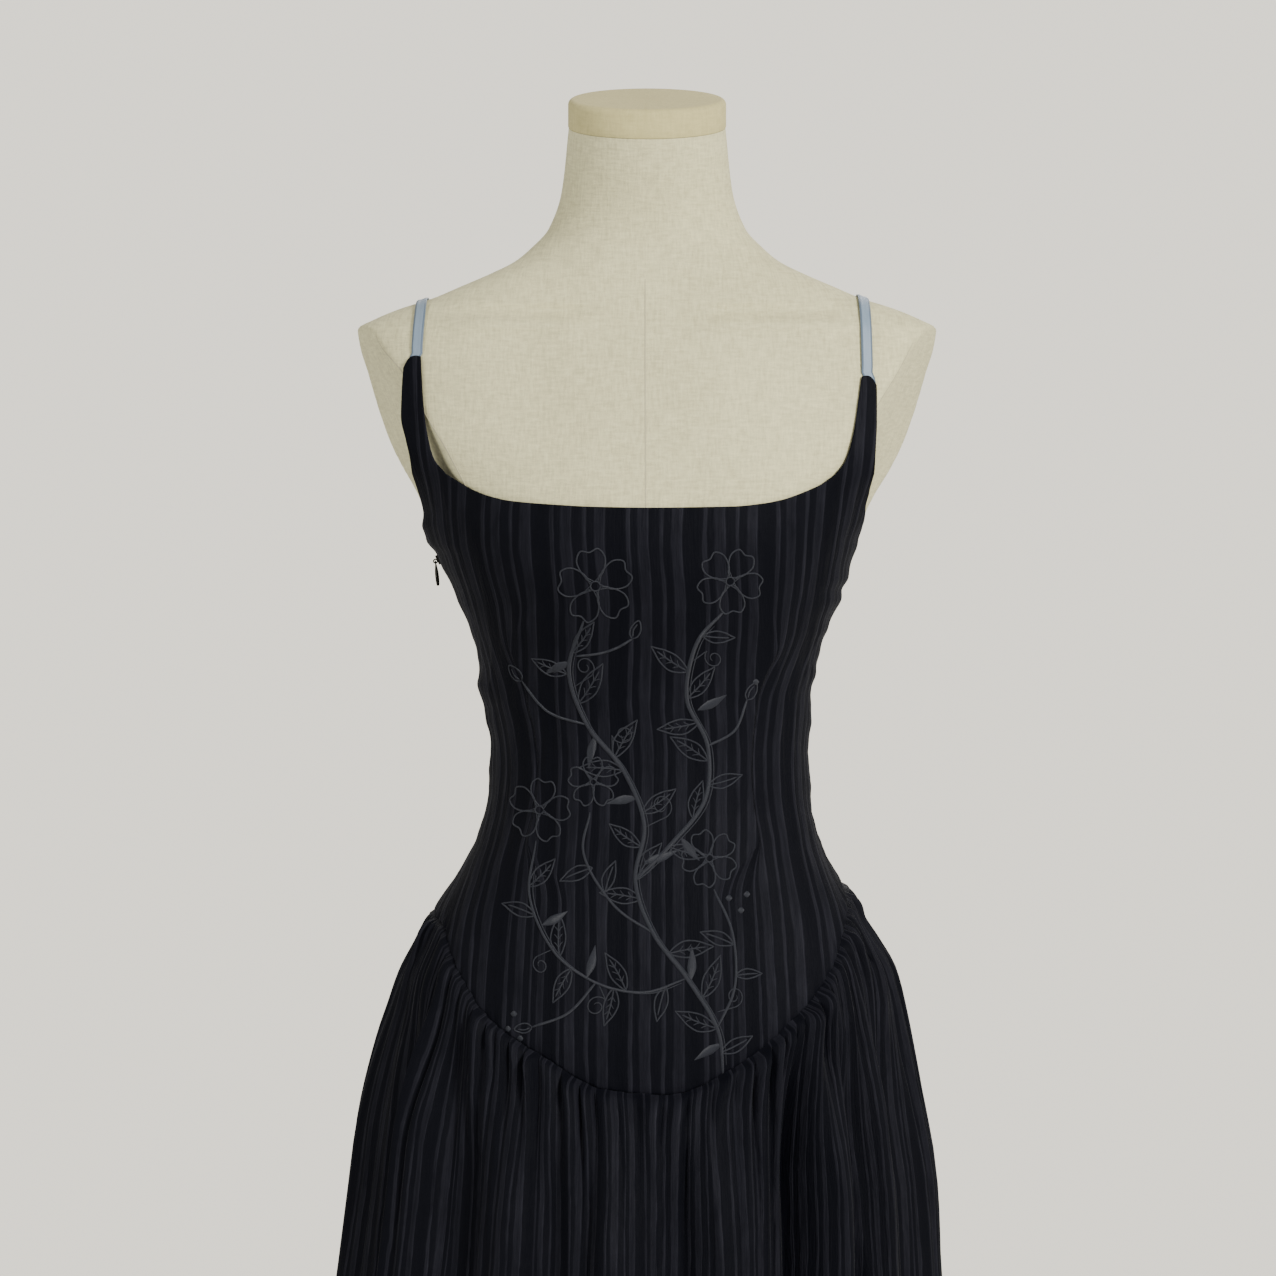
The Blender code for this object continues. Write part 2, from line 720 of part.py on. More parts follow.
def gather_height(turns, below, from_side):
    """Height of the small gathers, which fade below the seam and are calmer beside the side seams.

    turns counts gathers from the side seam, and from_side is the angle in degrees from the nearer one.
    """
    rise = below / GATHER_PEAK
    strength = GATHER_AT_SEAM + GATHER_HEIGHT * rise * math.exp(1 - rise) if rise < 1 else 0.0
    if rise >= 1:
        strength = (GATHER_AT_SEAM + GATHER_HEIGHT) * math.exp(-(below - GATHER_PEAK) / GATHER_LENGTH)
    unevenness = 0.80 + 0.25 * math.sin(2.3 * turns + 0.7) * math.sin(0.9 * turns)
    calm = SIDE_CALM + (1 - SIDE_CALM) * smooth_step(from_side / CALM_REACH)
    return strength * unevenness * calm * (1 - math.cos(2 * math.pi * turns))


def skirt_point(angle, z, below, turns, folds):
    """Point of the skirt's outside. angle is in degrees at the seam, below is the distance under the seam."""
    down = below / (sewn_z(angle) - HEM)
    turned, fold = along_folds(folds, angle, down)
    turned = math.radians(turned)
    row = row_at(SKIRT, z)
    full_x, full_y = oval(turned, row.right, row.left, row.front, row.back, SKIRT_POWER)
    seam_side = bodice_point(turned, max(z, BODY[0].z), -SKIRT_PROUD)
    puff = 1 - math.exp(-below / PUFF_LENGTH)
    x = seam_side.x + (full_x - seam_side.x) * puff
    y = seam_side.y + (full_y - seam_side.y) * puff
    growth = smooth_step((below - FOLD_START) / FOLD_LENGTH) * (1 + FOLD_GROWTH * down)
    from_side = 90 - abs(angle) if angle <= 90 else 90 - abs(angle - 180)
    height = gather_height(turns, below, from_side) + growth * fold
    radius = math.hypot(x, y)
    return Vector((x * (1 + height / radius), y * (1 + height / radius), z))


def skirt_rows(angle):
    """Distances below the seam of the skirt's rows."""
    drop = sewn_z(angle) - STEEP_SEAM_GAP - HEM
    last = ROWS_BELOW_SEAM[-1]
    lower = [last + (drop - last) * step / ROWS_TO_HEM for step in range(1, ROWS_TO_HEM + 1)]
    return ROWS_BELOW_SEAM + lower


def build_skirt(name, start_angle, gathers, folds, side):
    """Half of the gathered skirt, between the two side seams."""
    outer = []
    inner = []
    numbered = []
    count = gathers * COLUMNS_A_GATHER
    for index in range(count + 1):
        angle = start_angle + 180 * index / count
        turns = index / COLUMNS_A_GATHER
        numbers = {}
        for row, below in enumerate(skirt_rows(angle)):
            z = sewn_z(angle) - STEEP_SEAM_GAP - below
            point = skirt_point(angle, z, below, turns, folds)
            radius = math.hypot(point.x, point.y)
            shrink = (radius - SKIRT_WALL) / radius
            inside = Vector((point.x * shrink, point.y * shrink, z))
            numbers[row] = len(outer)
            outer.append(part_at_side_seam(point, side * SEAM_GAP / 2))
            inner.append(part_at_side_seam(inside, side * SEAM_GAP / 2))
        numbered.append(numbers)
    make_wall(name, "dress_cloth", outer, inner, grid_quads(numbered))


def form_depth(x, z, back):
    """Distance of the form's surface from the plane y = 0, at x and z."""
    body = row_at(BODY, z)
    share = min(abs(x) / body.half_width, 1.0)
    depth = body.back if back else body.front
    return depth * (1 - share**body.power) ** (1 / body.power)


def shoulder_z(x, y):
    """Height of the shoulder over a point, found by halving."""
    low = 1.25
    high = BODY[-1].z
    for _ in range(40):
        middle = (low + high) / 2
        inside = abs(x) < row_at(BODY, middle).half_width and abs(y) < form_depth(x, middle, y > 0)
        low, high = (middle, high) if inside else (low, middle)
    return low


def form_value(point):
    """Below 1 inside the form, above 1 outside."""
    body = row_at(BODY, point.z)
    depth = body.back if point.y > 0 else body.front
    return (abs(point.x) / body.half_width) ** body.power + (abs(point.y) / depth) ** body.power


def form_normal(point):
    """Outward direction of the form's surface."""
    step = 0.0004
    moves = (Vector((step, 0, 0)), Vector((0, step, 0)), Vector((0, 0, step)))
    slope = [form_value(point + move) - form_value(point - move) for move in moves]
    return Vector(slope).normalized()


def back_edge_point(index):
    """Corner of the back panel's top edge, on one of its columns."""
    angle = 90 + 180 * index / BACK_COLUMNS
    return bodice_point(math.radians(angle), row_at(BACK_TOP, angle).z, 0.0)


def back_edge_z(side, x):
    """Height of the back panel's top edge at a distance from x = 0, on the lines between its columns."""
    for index in range(BACK_COLUMNS // 2):
        near = back_edge_point(index if side > 0 else BACK_COLUMNS - index)
        far = back_edge_point(index + 1 if side > 0 else BACK_COLUMNS - index - 1)
        if side * far.x <= x <= side * near.x:
            return far.z + (near.z - far.z) * (x - side * far.x) / (side * (near.x - far.x))
    return SIDE_SEAM_TOP


def strap_stations(side, point_rows):
    """Points of the form's surface under both edges of a strap, from the front point to the back panel."""
    place = STRAP_PLACES[side]
    top_x = place.at_shoulder
    start_z = point_rows[-1].z + SEAM_GAP * 2
    half = STRAP_WIDTH / 2
    stations = []
    reach_z = shoulder_z(top_x, -SHOULDER_REACH)
    for step in range(STRAP_FRONT_ROWS):
        z = start_z + (reach_z - start_z) * step / STRAP_FRONT_ROWS
        middle = place.at_point + (top_x - place.at_point) * step / STRAP_FRONT_ROWS
        stations.append([(x, -form_depth(x, z, False), z) for x in (middle - half, middle + half)])
    for step in range(STRAP_SHOULDER_ROWS + 1):
        y = SHOULDER_REACH * (2 * step / STRAP_SHOULDER_ROWS - 1)
        stations.append([(x, y, shoulder_z(x, y)) for x in (top_x - half, top_x + half)])
    reach_z = shoulder_z(top_x, SHOULDER_REACH)
    for step in range(1, STRAP_BACK_ROWS + 1):
        share = (step / STRAP_BACK_ROWS) ** STRAP_BACK_CROWDING
        row = []
        for across in (-half, half):
            x = across + top_x + (STRAP_FOOT - top_x) * share
            edge_x = STRAP_FOOT + across + STRAP_CLEARANCE + STRAP_THICKNESS
            foot_z = back_edge_z(side, edge_x) + STRAP_FOOT_GAP
            z = reach_z + (foot_z - reach_z) * share
            row.append((x, form_depth(x, z, True), z))
        stations.append(row)
    return [[Vector((side * x, y, z)) for x, y, z in row] for row in stations]


def build_strap(name, side, point_rows):
    """Ribbon that lies on the form along its stations."""
    rings = []
    for station in strap_stations(side, point_rows):
        low = [point + form_normal(point) * STRAP_CLEARANCE for point in station]
        high = [point + form_normal(point) * (STRAP_CLEARANCE + STRAP_THICKNESS) for point in station]
        rings.append([low[0], low[1], high[1], high[0]])
    strap = make_loft(name, "strap_ribbon", rings)
    shape = bmesh.new()
    shape.from_mesh(strap.data)
    bmesh.ops.recalc_face_normals(shape, faces=shape.faces[:])
    shape.to_mesh(strap.data)
    shape.free()


def slider_tilt():
    """Angle in radians by which the side of the bodice leans out at the slider."""
    high_z = SLIDER_Z + SLIDER_LENGTH / 2
    low_z = SLIDER_Z - SLIDER_LENGTH / 2
    wider = row_at(BODY, high_z).half_width - row_at(BODY, low_z).half_width
    swayed = row_at(SWAY, high_z).x - row_at(SWAY, low_z).x
    return math.atan2(wider - swayed, SLIDER_LENGTH)


def over_side_seam(distance):
    """Point over the right side seam at the slider, at a distance from the cloth."""
    body = row_at(BODY, SLIDER_Z)
    tilt = slider_tilt()
    x = row_at(SWAY, SLIDER_Z).x - (body.half_width + body.ease) - distance * math.cos(tilt)
    return Vector((x, 0.0, SLIDER_Z - distance * math.sin(tilt)))


def bridge_centre():
    """Centre of the slider's round bridge, which is also the pull's hinge."""
    return over_side_seam(SLIDER_GAP + SLIDER_THICKNESS + BRIDGE_RADIUS)


def build_zip_slider():
    """Flat slider over the side seam, with a round bridge."""
    middle = over_side_seam(SLIDER_GAP + SLIDER_THICKNESS / 2)
    bpy.ops.mesh.primitive_cube_add(size=1, location=middle)
    slider = bpy.context.object
    slider.name = "zip_slider"
    slider.scale = (SLIDER_THICKNESS, SLIDER_WIDTH, SLIDER_LENGTH)
    bpy.ops.object.transform_apply(location=False, rotation=False, scale=True)
    slider.rotation_euler = (0, -slider_tilt(), 0)
    slider.data.materials.append(finish("zip_metal"))
    bevel = slider.modifiers.new("rounded", "BEVEL")
    bevel.width = 0.0004
    bevel.segments = 2
    bpy.ops.mesh.primitive_torus_add(
        location=bridge_centre(),
        rotation=(math.pi / 2, 0, 0),
        major_radius=BRIDGE_RADIUS,
        minor_radius=BRIDGE_WIRE,
        major_segments=20,
        minor_segments=8,
    )
    combine(slider, bpy.context.object, "UNION")


def build_zip_pull():
    """Drop-shaped pull that hangs from the bridge by its eye. Its origin is on the hinge."""
    hinge = bridge_centre()
    lean = Matrix.Rotation(-math.radians(PULL_LEAN), 3, "Y")
    eye = Vector((0, 0, -BRIDGE_RADIUS))
    rings = []
    for drop in PULL:
        ring = []
        for index in range(PULL_SEGMENTS):
            turn = 2 * math.pi * index / PULL_SEGMENTS
            offset = Vector((drop.half_depth * math.cos(turn), drop.half_width * math.sin(turn), drop.height))
            ring.append(lean @ (eye + offset))
        rings.append(ring)
    pull = make_loft("zip_pull", "zip_metal", rings)
    pull.location = hinge
    bpy.ops.mesh.primitive_cylinder_add(
        vertices=16,
        radius=PULL_EYE,
        depth=0.004,
        location=hinge + lean @ eye,
        rotation=(0, math.pi / 2 - math.radians(PULL_LEAN), 0),
    )
    cutter = bpy.context.object
    cutter.name = "eye_cutter"
    cutter.hide_render = True
    cutter.display_type = "WIRE"
    cut = pull.modifiers.new("eye", "BOOLEAN")
    cut.operation = "DIFFERENCE"
    cut.solver = "EXACT"
    cut.object = cutter


def clear_scene():
    for thing in list(bpy.data.objects):
        bpy.data.objects.remove(thing)


def main():
    clear_scene()
    build_torso()
    build_neck_cap()
    build_stand()
    build_bodice_front()
    build_bodice_back()
    build_skirt("skirt_front", -90, FRONT_GATHERS, FRONT_FOLDS, -1)
    build_skirt("skirt_back", 90, BACK_GATHERS, BACK_FOLDS, 1)
    build_strap("strap_right", -1, RIGHT_POINT)
    build_strap("strap_left", 1, LEFT_POINT)
    build_zip_slider()
    build_zip_pull()


main()
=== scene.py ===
"""Looks of a backless maxi dress on a limbless dress form, in cloth, thread, ribbon, metal and linen.

Metres, +Z up. The front of the dress faces -Y. Angles run round the body as seen from above: 0 is the front,
90 the +X side, 180 the back. Right and left in names are the wearer's, so the right side is at -X.
"""

import math

import bpy
import numpy as np
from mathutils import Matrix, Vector


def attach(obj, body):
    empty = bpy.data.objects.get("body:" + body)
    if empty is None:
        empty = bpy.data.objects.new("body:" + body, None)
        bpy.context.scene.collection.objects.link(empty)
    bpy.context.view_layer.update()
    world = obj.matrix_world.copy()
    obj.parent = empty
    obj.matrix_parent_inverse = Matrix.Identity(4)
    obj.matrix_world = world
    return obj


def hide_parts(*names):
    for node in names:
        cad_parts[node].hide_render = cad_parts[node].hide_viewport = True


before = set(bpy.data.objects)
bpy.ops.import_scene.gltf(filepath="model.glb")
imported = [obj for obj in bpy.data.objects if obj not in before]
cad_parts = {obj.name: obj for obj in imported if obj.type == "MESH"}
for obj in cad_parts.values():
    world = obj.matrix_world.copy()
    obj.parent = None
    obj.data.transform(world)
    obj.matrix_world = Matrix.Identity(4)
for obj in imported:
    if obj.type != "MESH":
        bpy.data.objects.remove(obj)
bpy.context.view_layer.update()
BODY_NAME = "dress_on_form"

# The model's own tables, which the finer surfaces follow

MM = 1000


def scaled(units, rows):
    """Rows of a table, each column divided by its unit: MM for lengths written in mm, 1 for what stays."""
    return [tuple(value / unit for value, unit in zip(row, units)) for row in rows]


BODY = scaled((MM, MM, MM, MM, 1, MM), [
    (760, 148, 91, 102, 2.3, 10), (800, 156, 100, 111, 2.3, 10), (860, 158, 103, 115, 2.3, 10),
    (905, 151, 100, 112, 2.25, 9), (936, 139.5, 96, 106, 2.2, 7.5), (966, 122, 91, 97, 2.2, 5.5),
    (990, 112.5, 88, 90, 2.15, 3.5), (1020, 107.5, 85, 85, 2.1, 2.8), (1050, 106.2, 84, 83, 2.1, 2.8),
    (1081, 110, 87, 83.5, 2.1, 2.8), (1115, 114.3, 95, 85, 2.15, 2.8), (1149, 126.6, 106, 89, 2.2, 2.8),
    (1177, 137.7, 113.2, 93, 2.25, 2.8), (1197, 146.8, 114.5, 96, 2.3, 2.8), (1222, 159, 111.8, 97, 2.35, 2.8),
    (1241, 173.5, 106, 96, 2.4, 2.8), (1257, 184, 99.5, 94, 2.4, 2.8), (1278, 191, 88, 89, 2.4, 2.8),
    (1306, 196, 76, 80, 2.35, 2.8), (1322, 200, 68, 70, 2.25, 2.8), (1333, 199, 62, 62, 2.15, 2.8),
    (1341, 185, 57, 56, 2.1, 2.8), (1348, 168, 53, 52, 2.05, 2.8), (1355, 146, 50, 51, 2, 2.8),
    (1363, 127, 48, 52, 2, 2.8), (1372, 106, 47, 53, 2, 2.8), (1380, 90, 46, 53, 2, 2.8),
    (1389, 79, 45, 53, 2, 2.8), (1402, 67, 45, 53, 2, 2.8), (1427, 58, 46, 53, 2, 2.8),
    (1470, 53, 50, 52, 2, 2.8),
])
BODY_TOP = 1.470
SWAY = scaled((MM, MM), [
    (975, 0), (1008, 1.4), (1040, 1.8), (1064, 1.3), (1084, 0), (1106, 0.3), (1126, 1), (1147, 1.2),
    (1163, 0.2), (1178, -0.9), (1191, -1.5), (1205, -1.5), (1234, 0),
])
ARM_PLATES = [
    ((0.193, -0.010, 1.335), (0.876, -0.330, -0.350)),
    ((0.139, -0.010, 1.200), (0.876, -0.330, -0.070)),
]
PLATE_ROUNDING = 0.004
PLATE_LOW = 1.125
NECK_BEND = 1.385
NECK_LEAN = math.radians(14.0)
NECK_FORWARD = 0.010
CAP_RADIUS = 0.0535
CAP_DEPTH = 0.0505
CAP_HEIGHT = 0.019
SEAT_GAP = 0.0003
POLE_RADIUS = 0.016
BASE_RADIUS = 0.185
BASE_HEIGHT = 0.014

NECK_LOW = 1.2144
NECKLINE = scaled((MM, MM), [
    (-133.5, 1236), (-127.5, 1230.3), (-119.5, 1225.2), (-110, 1221.6), (-94, 1218.4), (-62.5, 1216.1),
    (-40, 1215), (0, 1214.4), (60, 1215.1), (80, 1216.8), (95, 1219.5), (108, 1223.9), (118, 1229),
    (124.5, 1236),
])
RIGHT_POINT = scaled((MM, MM, MM), [
    (1236, 157.5, 133.5), (1246, 158.3, 141.7), (1258, 160.8, 145.2), (1274, 164.5, 148), (1292, 164, 150),
    (1315, 162.2, 151.8),
])
LEFT_POINT = scaled((MM, MM, MM), [
    (1236, 151, 124.5), (1245, 151.6, 131.5), (1256, 152.2, 135.2), (1270, 152.9, 138.5), (1285, 153, 141),
    (1301.5, 152.5, 143.4),
])
TIP_DROP = {-1: 0.0080, 1: 0.0066}
SIDE_SEAM_TOP = 1.1875
ARMHOLE_HOLLOW = 0.0011
CORNER_ANGLE = 58
BODICE_ROWS = 12
ARMHOLE_ROWS = 2
BODICE_WALL = 0.0013
SIDE_CLEARANCE = 0.00008
SEAM = scaled((1, MM), [
    (-90, 937), (-68, 932), (-52, 908), (-37, 877), (-20, 851), (-8, 832), (3, 828), (16, 844), (32, 874),
    (46, 901), (62, 931), (90, 955), (130, 930), (180, 912), (230, 921), (270, 937),
])
BACK_TOP = [
    (90, SIDE_SEAM_TOP), (101, 1.152), (116, 1.108), (134, 1.068), (156, 1.046), (180, 1.04), (204, 1.046),
    (226, 1.068), (244, 1.108), (259, 1.152), (270, SIDE_SEAM_TOP),
]
SKIRT = scaled((MM, MM, MM, MM, MM), [
    (75, 285, 257, 232, 238), (300, 260, 234, 206, 214), (500, 234, 214.5, 180, 191),
    (686, 206.5, 197, 153, 166), (755, 197.5, 192, 143, 157), (800, 191.5, 184.5, 136, 151),
    (842, 183, 178, 128, 144), (870, 175.5, 173.5, 124, 139), (897, 168, 168, 118, 131),
    (920, 154.5, 155, 113, 124), (937, 143, 142, 108, 117), (957, 136, 134, 104, 112),
])
HEM = 0.075
SKIRT_POWER = 2.05
PUFF_LENGTH = 0.022
SKIRT_PROUD = 0.0012
FRONT_GATHERS = 47
BACK_GATHERS = 44
GATHER_AT_SEAM = 0.0008
GATHER_HEIGHT = 0.0027
GATHER_PEAK = 0.010
GATHER_LENGTH = 0.040
SKIRT_CUT = 0.81
SIDE_CALM = 0.25
CALM_REACH = 30
FOLD_START = 0.015
FOLD_LENGTH = 0.150
FOLD_GROWTH = 0.5
FRONT_FOLDS = scaled((1, 1, MM), [
    (-90, -90, 0), (-81, -80, 7), (-62, -60, -11), (-51, -50, 14), (-38, -36, -9), (-27, -26, 8),
    (-18, -18, -7), (-6, -5, 8), (4, 5, -8), (14, 13, 9), (34, 27, -16), (41, 34, 12), (48, 42, -10),
    (54, 49, 10), (65, 61, -10), (77, 74, 8), (90, 90, 0),
])
BACK_FOLDS = scaled((1, 1, MM), [
    (90, 90, 0), (99, 100, 9), (107, 108, -10), (117, 117, 12), (127, 126, -9), (136, 137, 10), (144, 146, -13),
    (155, 156, 11), (166, 165, -8), (176, 175, 12), (186, 187, -12), (197, 196, 9), (206, 206, -10),
    (216, 218, 13), (226, 227, -9), (236, 235, 10), (246, 247, -12), (257, 257, 9), (270, 270, 0),
])
STRAP_PLACES = {-1: (0.1538, 0.1523), 1: (0.1460, 0.1461)}
STRAP_WIDTH = 0.0076
STRAP_FOOT = 0.078
SHOULDER_REACH = 0.030

# Fineness of the cloth and the form, and the thickness of the skirt's shell
SIDE_COLUMNS = 34
CENTRE_COLUMNS = 188
POINT_ROWS = 46
PANEL_ROWS = 156
BACK_COLUMNS = 190
BACK_PANEL_ROWS = 96
COLUMNS_A_GATHER = 12
SKIRT_SHELL = 0.0016
TORSO_SPACING = 0.0045
SHOULDER_LOW = 1.30

# Rows of the skirt: distances below the seam down to the last near one, and the number of rows below that
NEAR_ROWS = [-0.0062, -0.0040, -0.0020, -0.0008, 0.0, 0.0011, 0.0022, 0.0035, 0.005, 0.0067, 0.0086, 0.0108]
NEAR_ROWS += [0.0132, 0.016, 0.019, 0.0225, 0.0265, 0.031, 0.036, 0.0415, 0.0475, 0.054, 0.061, 0.0685]
NEAR_ROWS += [0.0765, 0.085, 0.094, 0.104, 0.115, 0.127, 0.140]
NEAR_END = NEAR_ROWS[-1]
LOWER_ROWS = 38

# Stripes: repeat and place of the first narrow line, as cloth widths from the middle of the bodice front
STRIPE_REPEAT = 0.0505
STRIPE_START = -0.0074
CLOTH_CENTRE = -0.004

# Stripe that runs down each waist dart of the bodice front: height, and distance from the middle
DART = scaled((MM, MM), [
    (820, 90.5), (931, 86.3), (986, 79.8), (1038.4, 73.9), (1084.6, 77.8), (1133.2, 94.9), (1195.6, 100.1),
    (1320, 100.1),
])
DART_TOP = 1.113
DART_FOOT = 0.995

# Soft creases of the skirt: angle at the seam, angle at the hem, distances below the seam where the crease
# starts and ends, half width in degrees, height (negative for a trough)
FRONT_CREASES = scaled((1, 1, MM, MM, 1, MM), [
    (-84, -83, 30, 420, 1.6, 2.8), (-73, -76, 10, 560, 1.5, -3), (-68, -70, 55, 300, 1.2, 2.2),
    (-58, -56, 20, 240, 1.1, -2.6), (-54, -52, 12, 640, 1.2, 5.8), (-51.5, -49.5, 15, 500, 1, -4),
    (-48, -47, 80, 520, 1.1, -2.2), (-44, -40, 6, 240, 1.3, -4.8), (-41, -42, 150, 700, 1.5, 2.2),
    (-34, -29, 10, 330, 1.2, 2.6), (-30, -31, 120, 620, 1, -2), (-23, -21, 4, 150, 1, -2.8),
    (-22, -23, 200, 760, 1.4, 2), (-14, -14, 15, 360, 1.1, 2.6), (-11, -9, 20, 520, 1.4, -5.6),
    (-3, -2, 100, 700, 0.9, -1.6), (1, 3, 8, 140, 0.9, 2.2), (7, 9, 20, 440, 1.2, -4),
    (11, 22, 10, 340, 1.1, 3), (16, 20, 60, 600, 1, -2.2), (22, 24, 12, 200, 1.3, 2.6),
    (28, 23, 8, 480, 1.4, 2.8), (33.5, 27, 4, 560, 1.7, -9.5), (37, 31, 4, 420, 1.3, 3.4),
    (44, 52, 6, 420, 1.1, -5.2), (46.5, 55, 10, 520, 1.2, 4), (51, 46, 10, 160, 0.9, 2.2),
    (58, 55, 30, 540, 1.2, -2.6), (61, 59, 6, 240, 1, 2.6), (70, 69, 14, 460, 1.3, 2.2),
    (74, 78, 60, 640, 1.2, -2.4), (83, 84, 20, 360, 1.4, 2),
])
BACK_CREASES = scaled((1, 1, MM, MM, 1, MM), [
    (95, 96, 20, 420, 1.3, -2.2), (103, 104, 8, 300, 1.1, 2.4), (111, 110, 50, 600, 1.2, 2),
    (121, 123, 10, 380, 1.2, -2.8), (131, 130, 30, 640, 1, 2.4), (139, 141, 6, 240, 1.1, -2.4),
    (149, 151, 20, 500, 1.3, 2.8), (160, 159, 12, 340, 1, -2.2), (169, 170, 60, 680, 1.2, 2.2),
    (180, 182, 8, 420, 1.2, -3), (191, 190, 20, 560, 1, 2.4), (201, 203, 10, 280, 1.1, -2.4),
    (211, 210, 40, 620, 1.3, 2.6), (221, 222, 6, 360, 1, -2.6), (231, 229, 30, 520, 1.2, 2.2),
    (241, 243, 14, 400, 1.1, -2.2), (251, 250, 20, 600, 1.2, 2.4), (263, 264, 10, 320, 1.2, -2),
])


def curve(rows):
    """Function that follows a smooth curve through the rows of a table, sorted by their first column."""
    rows = np.array(rows, float)
    keys = rows[:, 0]
    values = rows[:, 1:]
    steps = np.diff(values, axis=0) / np.diff(keys)[:, None]
    slopes = np.empty_like(values)
    slopes[0] = steps[0]
    slopes[-1] = steps[-1]
    both = steps[:-1] + steps[1:]
    product = steps[:-1] * steps[1:]
    slopes[1:-1] = np.where(product > 0, 2 * product / np.where(both == 0, 1, both), 0)

    def at(key):
        key = np.clip(np.asarray(key, float), keys[0], keys[-1])
        low = np.clip(np.searchsorted(keys, key, "right") - 1, 0, len(keys) - 2)
        span = (keys[low + 1] - keys[low])[..., None]
        t = (key - keys[low])[..., None] / span
        start = (2 * t**3 - 3 * t**2 + 1) * values[low] + (t**3 - 2 * t**2 + t) * slopes[low] * span
        end = (3 * t**2 - 2 * t**3) * values[low + 1] + (t**3 - t**2) * slopes[low + 1] * span
        return start + end

    return at


body_at = curve(BODY)
seam_at = curve(SEAM)
back_top_at = curve(BACK_TOP)
skirt_at = curve(SKIRT)
sway_at = curve(SWAY)
neckline_at = curve(NECKLINE)
dart_at = curve(DART)
POINT_AT = {-1: curve(RIGHT_POINT), 1: curve(LEFT_POINT)}
POINT_ROWS_OF = {-1: RIGHT_POINT, 1: LEFT_POINT}


def smooth_step(t):
    t = np.clip(t, 0.0, 1.0)
    return t * t * (3 - 2 * t)


def rise(value, start, reach):
    """Soft step from 0 at start to 1 after reach, which is negative for a step that falls."""
    return smooth_step((value - start) / reach)


def bell(t):
    return np.exp(-t * t)


def signed_power(value, power):
    return np.sign(value) * np.abs(value) ** power


def oval(angle, right, left, front, back, power):
    """x and y of a closed oval section at an angle in radians."""
    sine = np.sin(angle)
    cosine = np.cos(angle)
    width = np.where(sine >= 0, left, right)
    depth = np.where(cosine >= 0, front, back)
    return width * signed_power(sine, 2 / power), -depth * signed_power(cosine, 2 / power)


def bumps(value, *rows):
    """Sum of soft bumps, each with its height, middle and reach."""
    return sum(height * bell((value - middle) / reach) for height, middle, reach in rows)


def between_four(table, row, column, next_row, next_column, up, across):
    """Value between four places of a table."""
    low = table[row, column] * (1 - across) + table[row, next_column] * across
    high = table[next_row, column] * (1 - across) + table[next_row, next_column] * across
    return low * (1 - up) + high * up


def smooth_noise(u, v, seed):
    """Soft noise from -1 to 1, with about one bump to each unit of u and v."""
    size = 97
    table = np.random.default_rng(seed).uniform(-1, 1, (size, size)).T
    column = np.floor(u).astype(int)
    row = np.floor(v).astype(int)
    places = (row % size, column % size, (row + 1) % size, (column + 1) % size)
    return between_four(table, *places, smooth_step(v - row), smooth_step(u - column))


def body_point(angle, z, out):
    """Points of the form's surface, moved out level by a distance."""
    angle, z, out = np.broadcast_arrays(angle, z, out)
    body = body_at(z)
    width = body[..., 0] + out
    x, y = oval(angle, width, width, body[..., 1] + out, body[..., 2] + out, body[..., 3])
    return np.stack([x + sway_at(z)[..., 0], y, z], -1)


def bodice_point(angle, z, depth):
    """Points of the bodice, at a depth below its outside."""
    return body_point(angle, z, body_at(z)[..., 4] - depth)


def surface_angle(x, z, out):
    """Angle in radians of the point at x, in front, on a surface that stands off the form by a distance."""
    body = body_at(z)
    x = x - sway_at(z)[..., 0]
    share = np.minimum(np.abs(x) / (body[..., 0] + out), 1.0)
    return np.sign(x) * np.arcsin(share ** (body[..., 3] / 2))


def front_angle(x, z):
    """Angle in radians of the bodice front's point at x."""
    return surface_angle(x, z, body_at(z)[..., 4])


def seam_z(angle):
    return seam_at(angle)[..., 0]


# Cloth widths, measured along the body from the middle of the front or back

ARC_HEIGHTS = np.linspace(0.80, 1.33, 107)
ARC_ANGLES = np.linspace(0, math.pi / 2, 361)


def arc_table(back):
    angles, heights = np.meshgrid(ARC_ANGLES, ARC_HEIGHTS)
    points = bodice_point(math.pi - angles if back else angles, heights, 0.0)
    steps = np.linalg.norm(np.diff(points[..., :2], axis=1), axis=2)
    return np.concatenate([np.zeros((len(heights), 1)), np.cumsum(steps, axis=1)], axis=1)


ARCS = {False: arc_table(False), True: arc_table(True)}


def arc_length(angle, z, back=False):
    """Distance along the body from its middle to an angle, with the angle's sign."""
    angle, z = np.broadcast_arrays(np.asarray(angle, float), np.asarray(z, float))
    across = np.abs(angle) / (math.pi / 2) * (len(ARC_ANGLES) - 1)
    up = (z - ARC_HEIGHTS[0]) / (ARC_HEIGHTS[1] - ARC_HEIGHTS[0])
    column = np.clip(np.floor(across).astype(int), 0, len(ARC_ANGLES) - 2)
    row = np.clip(np.floor(up).astype(int), 0, len(ARC_HEIGHTS) - 2)
    shares = (np.clip(up - row, 0, 1), np.clip(across - column, 0, 1))
    return np.sign(angle) * between_four(ARCS[back], row, column, row + 1, column + 1, *shares)


def dart_width(z):
    """Distance over which the cloth taken in at a dart's height goes: nothing where the dart is sewn."""
    return 0.0012 + 0.045 * (rise(z, DART_TOP, 0.055) + rise(z, DART_FOOT, -0.045))


def dart_arc(z):
    return arc_length(front_angle(dart_at(z)[..., 0], z), z)


DART_CLOTH = float(dart_arc(np.array([1.1956]))[0])


def front_cloth(angle, z):
    """Place across the cloth of the bodice front, from its middle."""
    along = arc_length(angle, z) - CLOTH_CENTRE
    size = np.abs(along)
    line = dart_arc(z)
    width = dart_width(z)
    taken = (DART_CLOTH - line) * smooth_step((size - line + width) / width)
    return np.sign(along) * (size + taken)


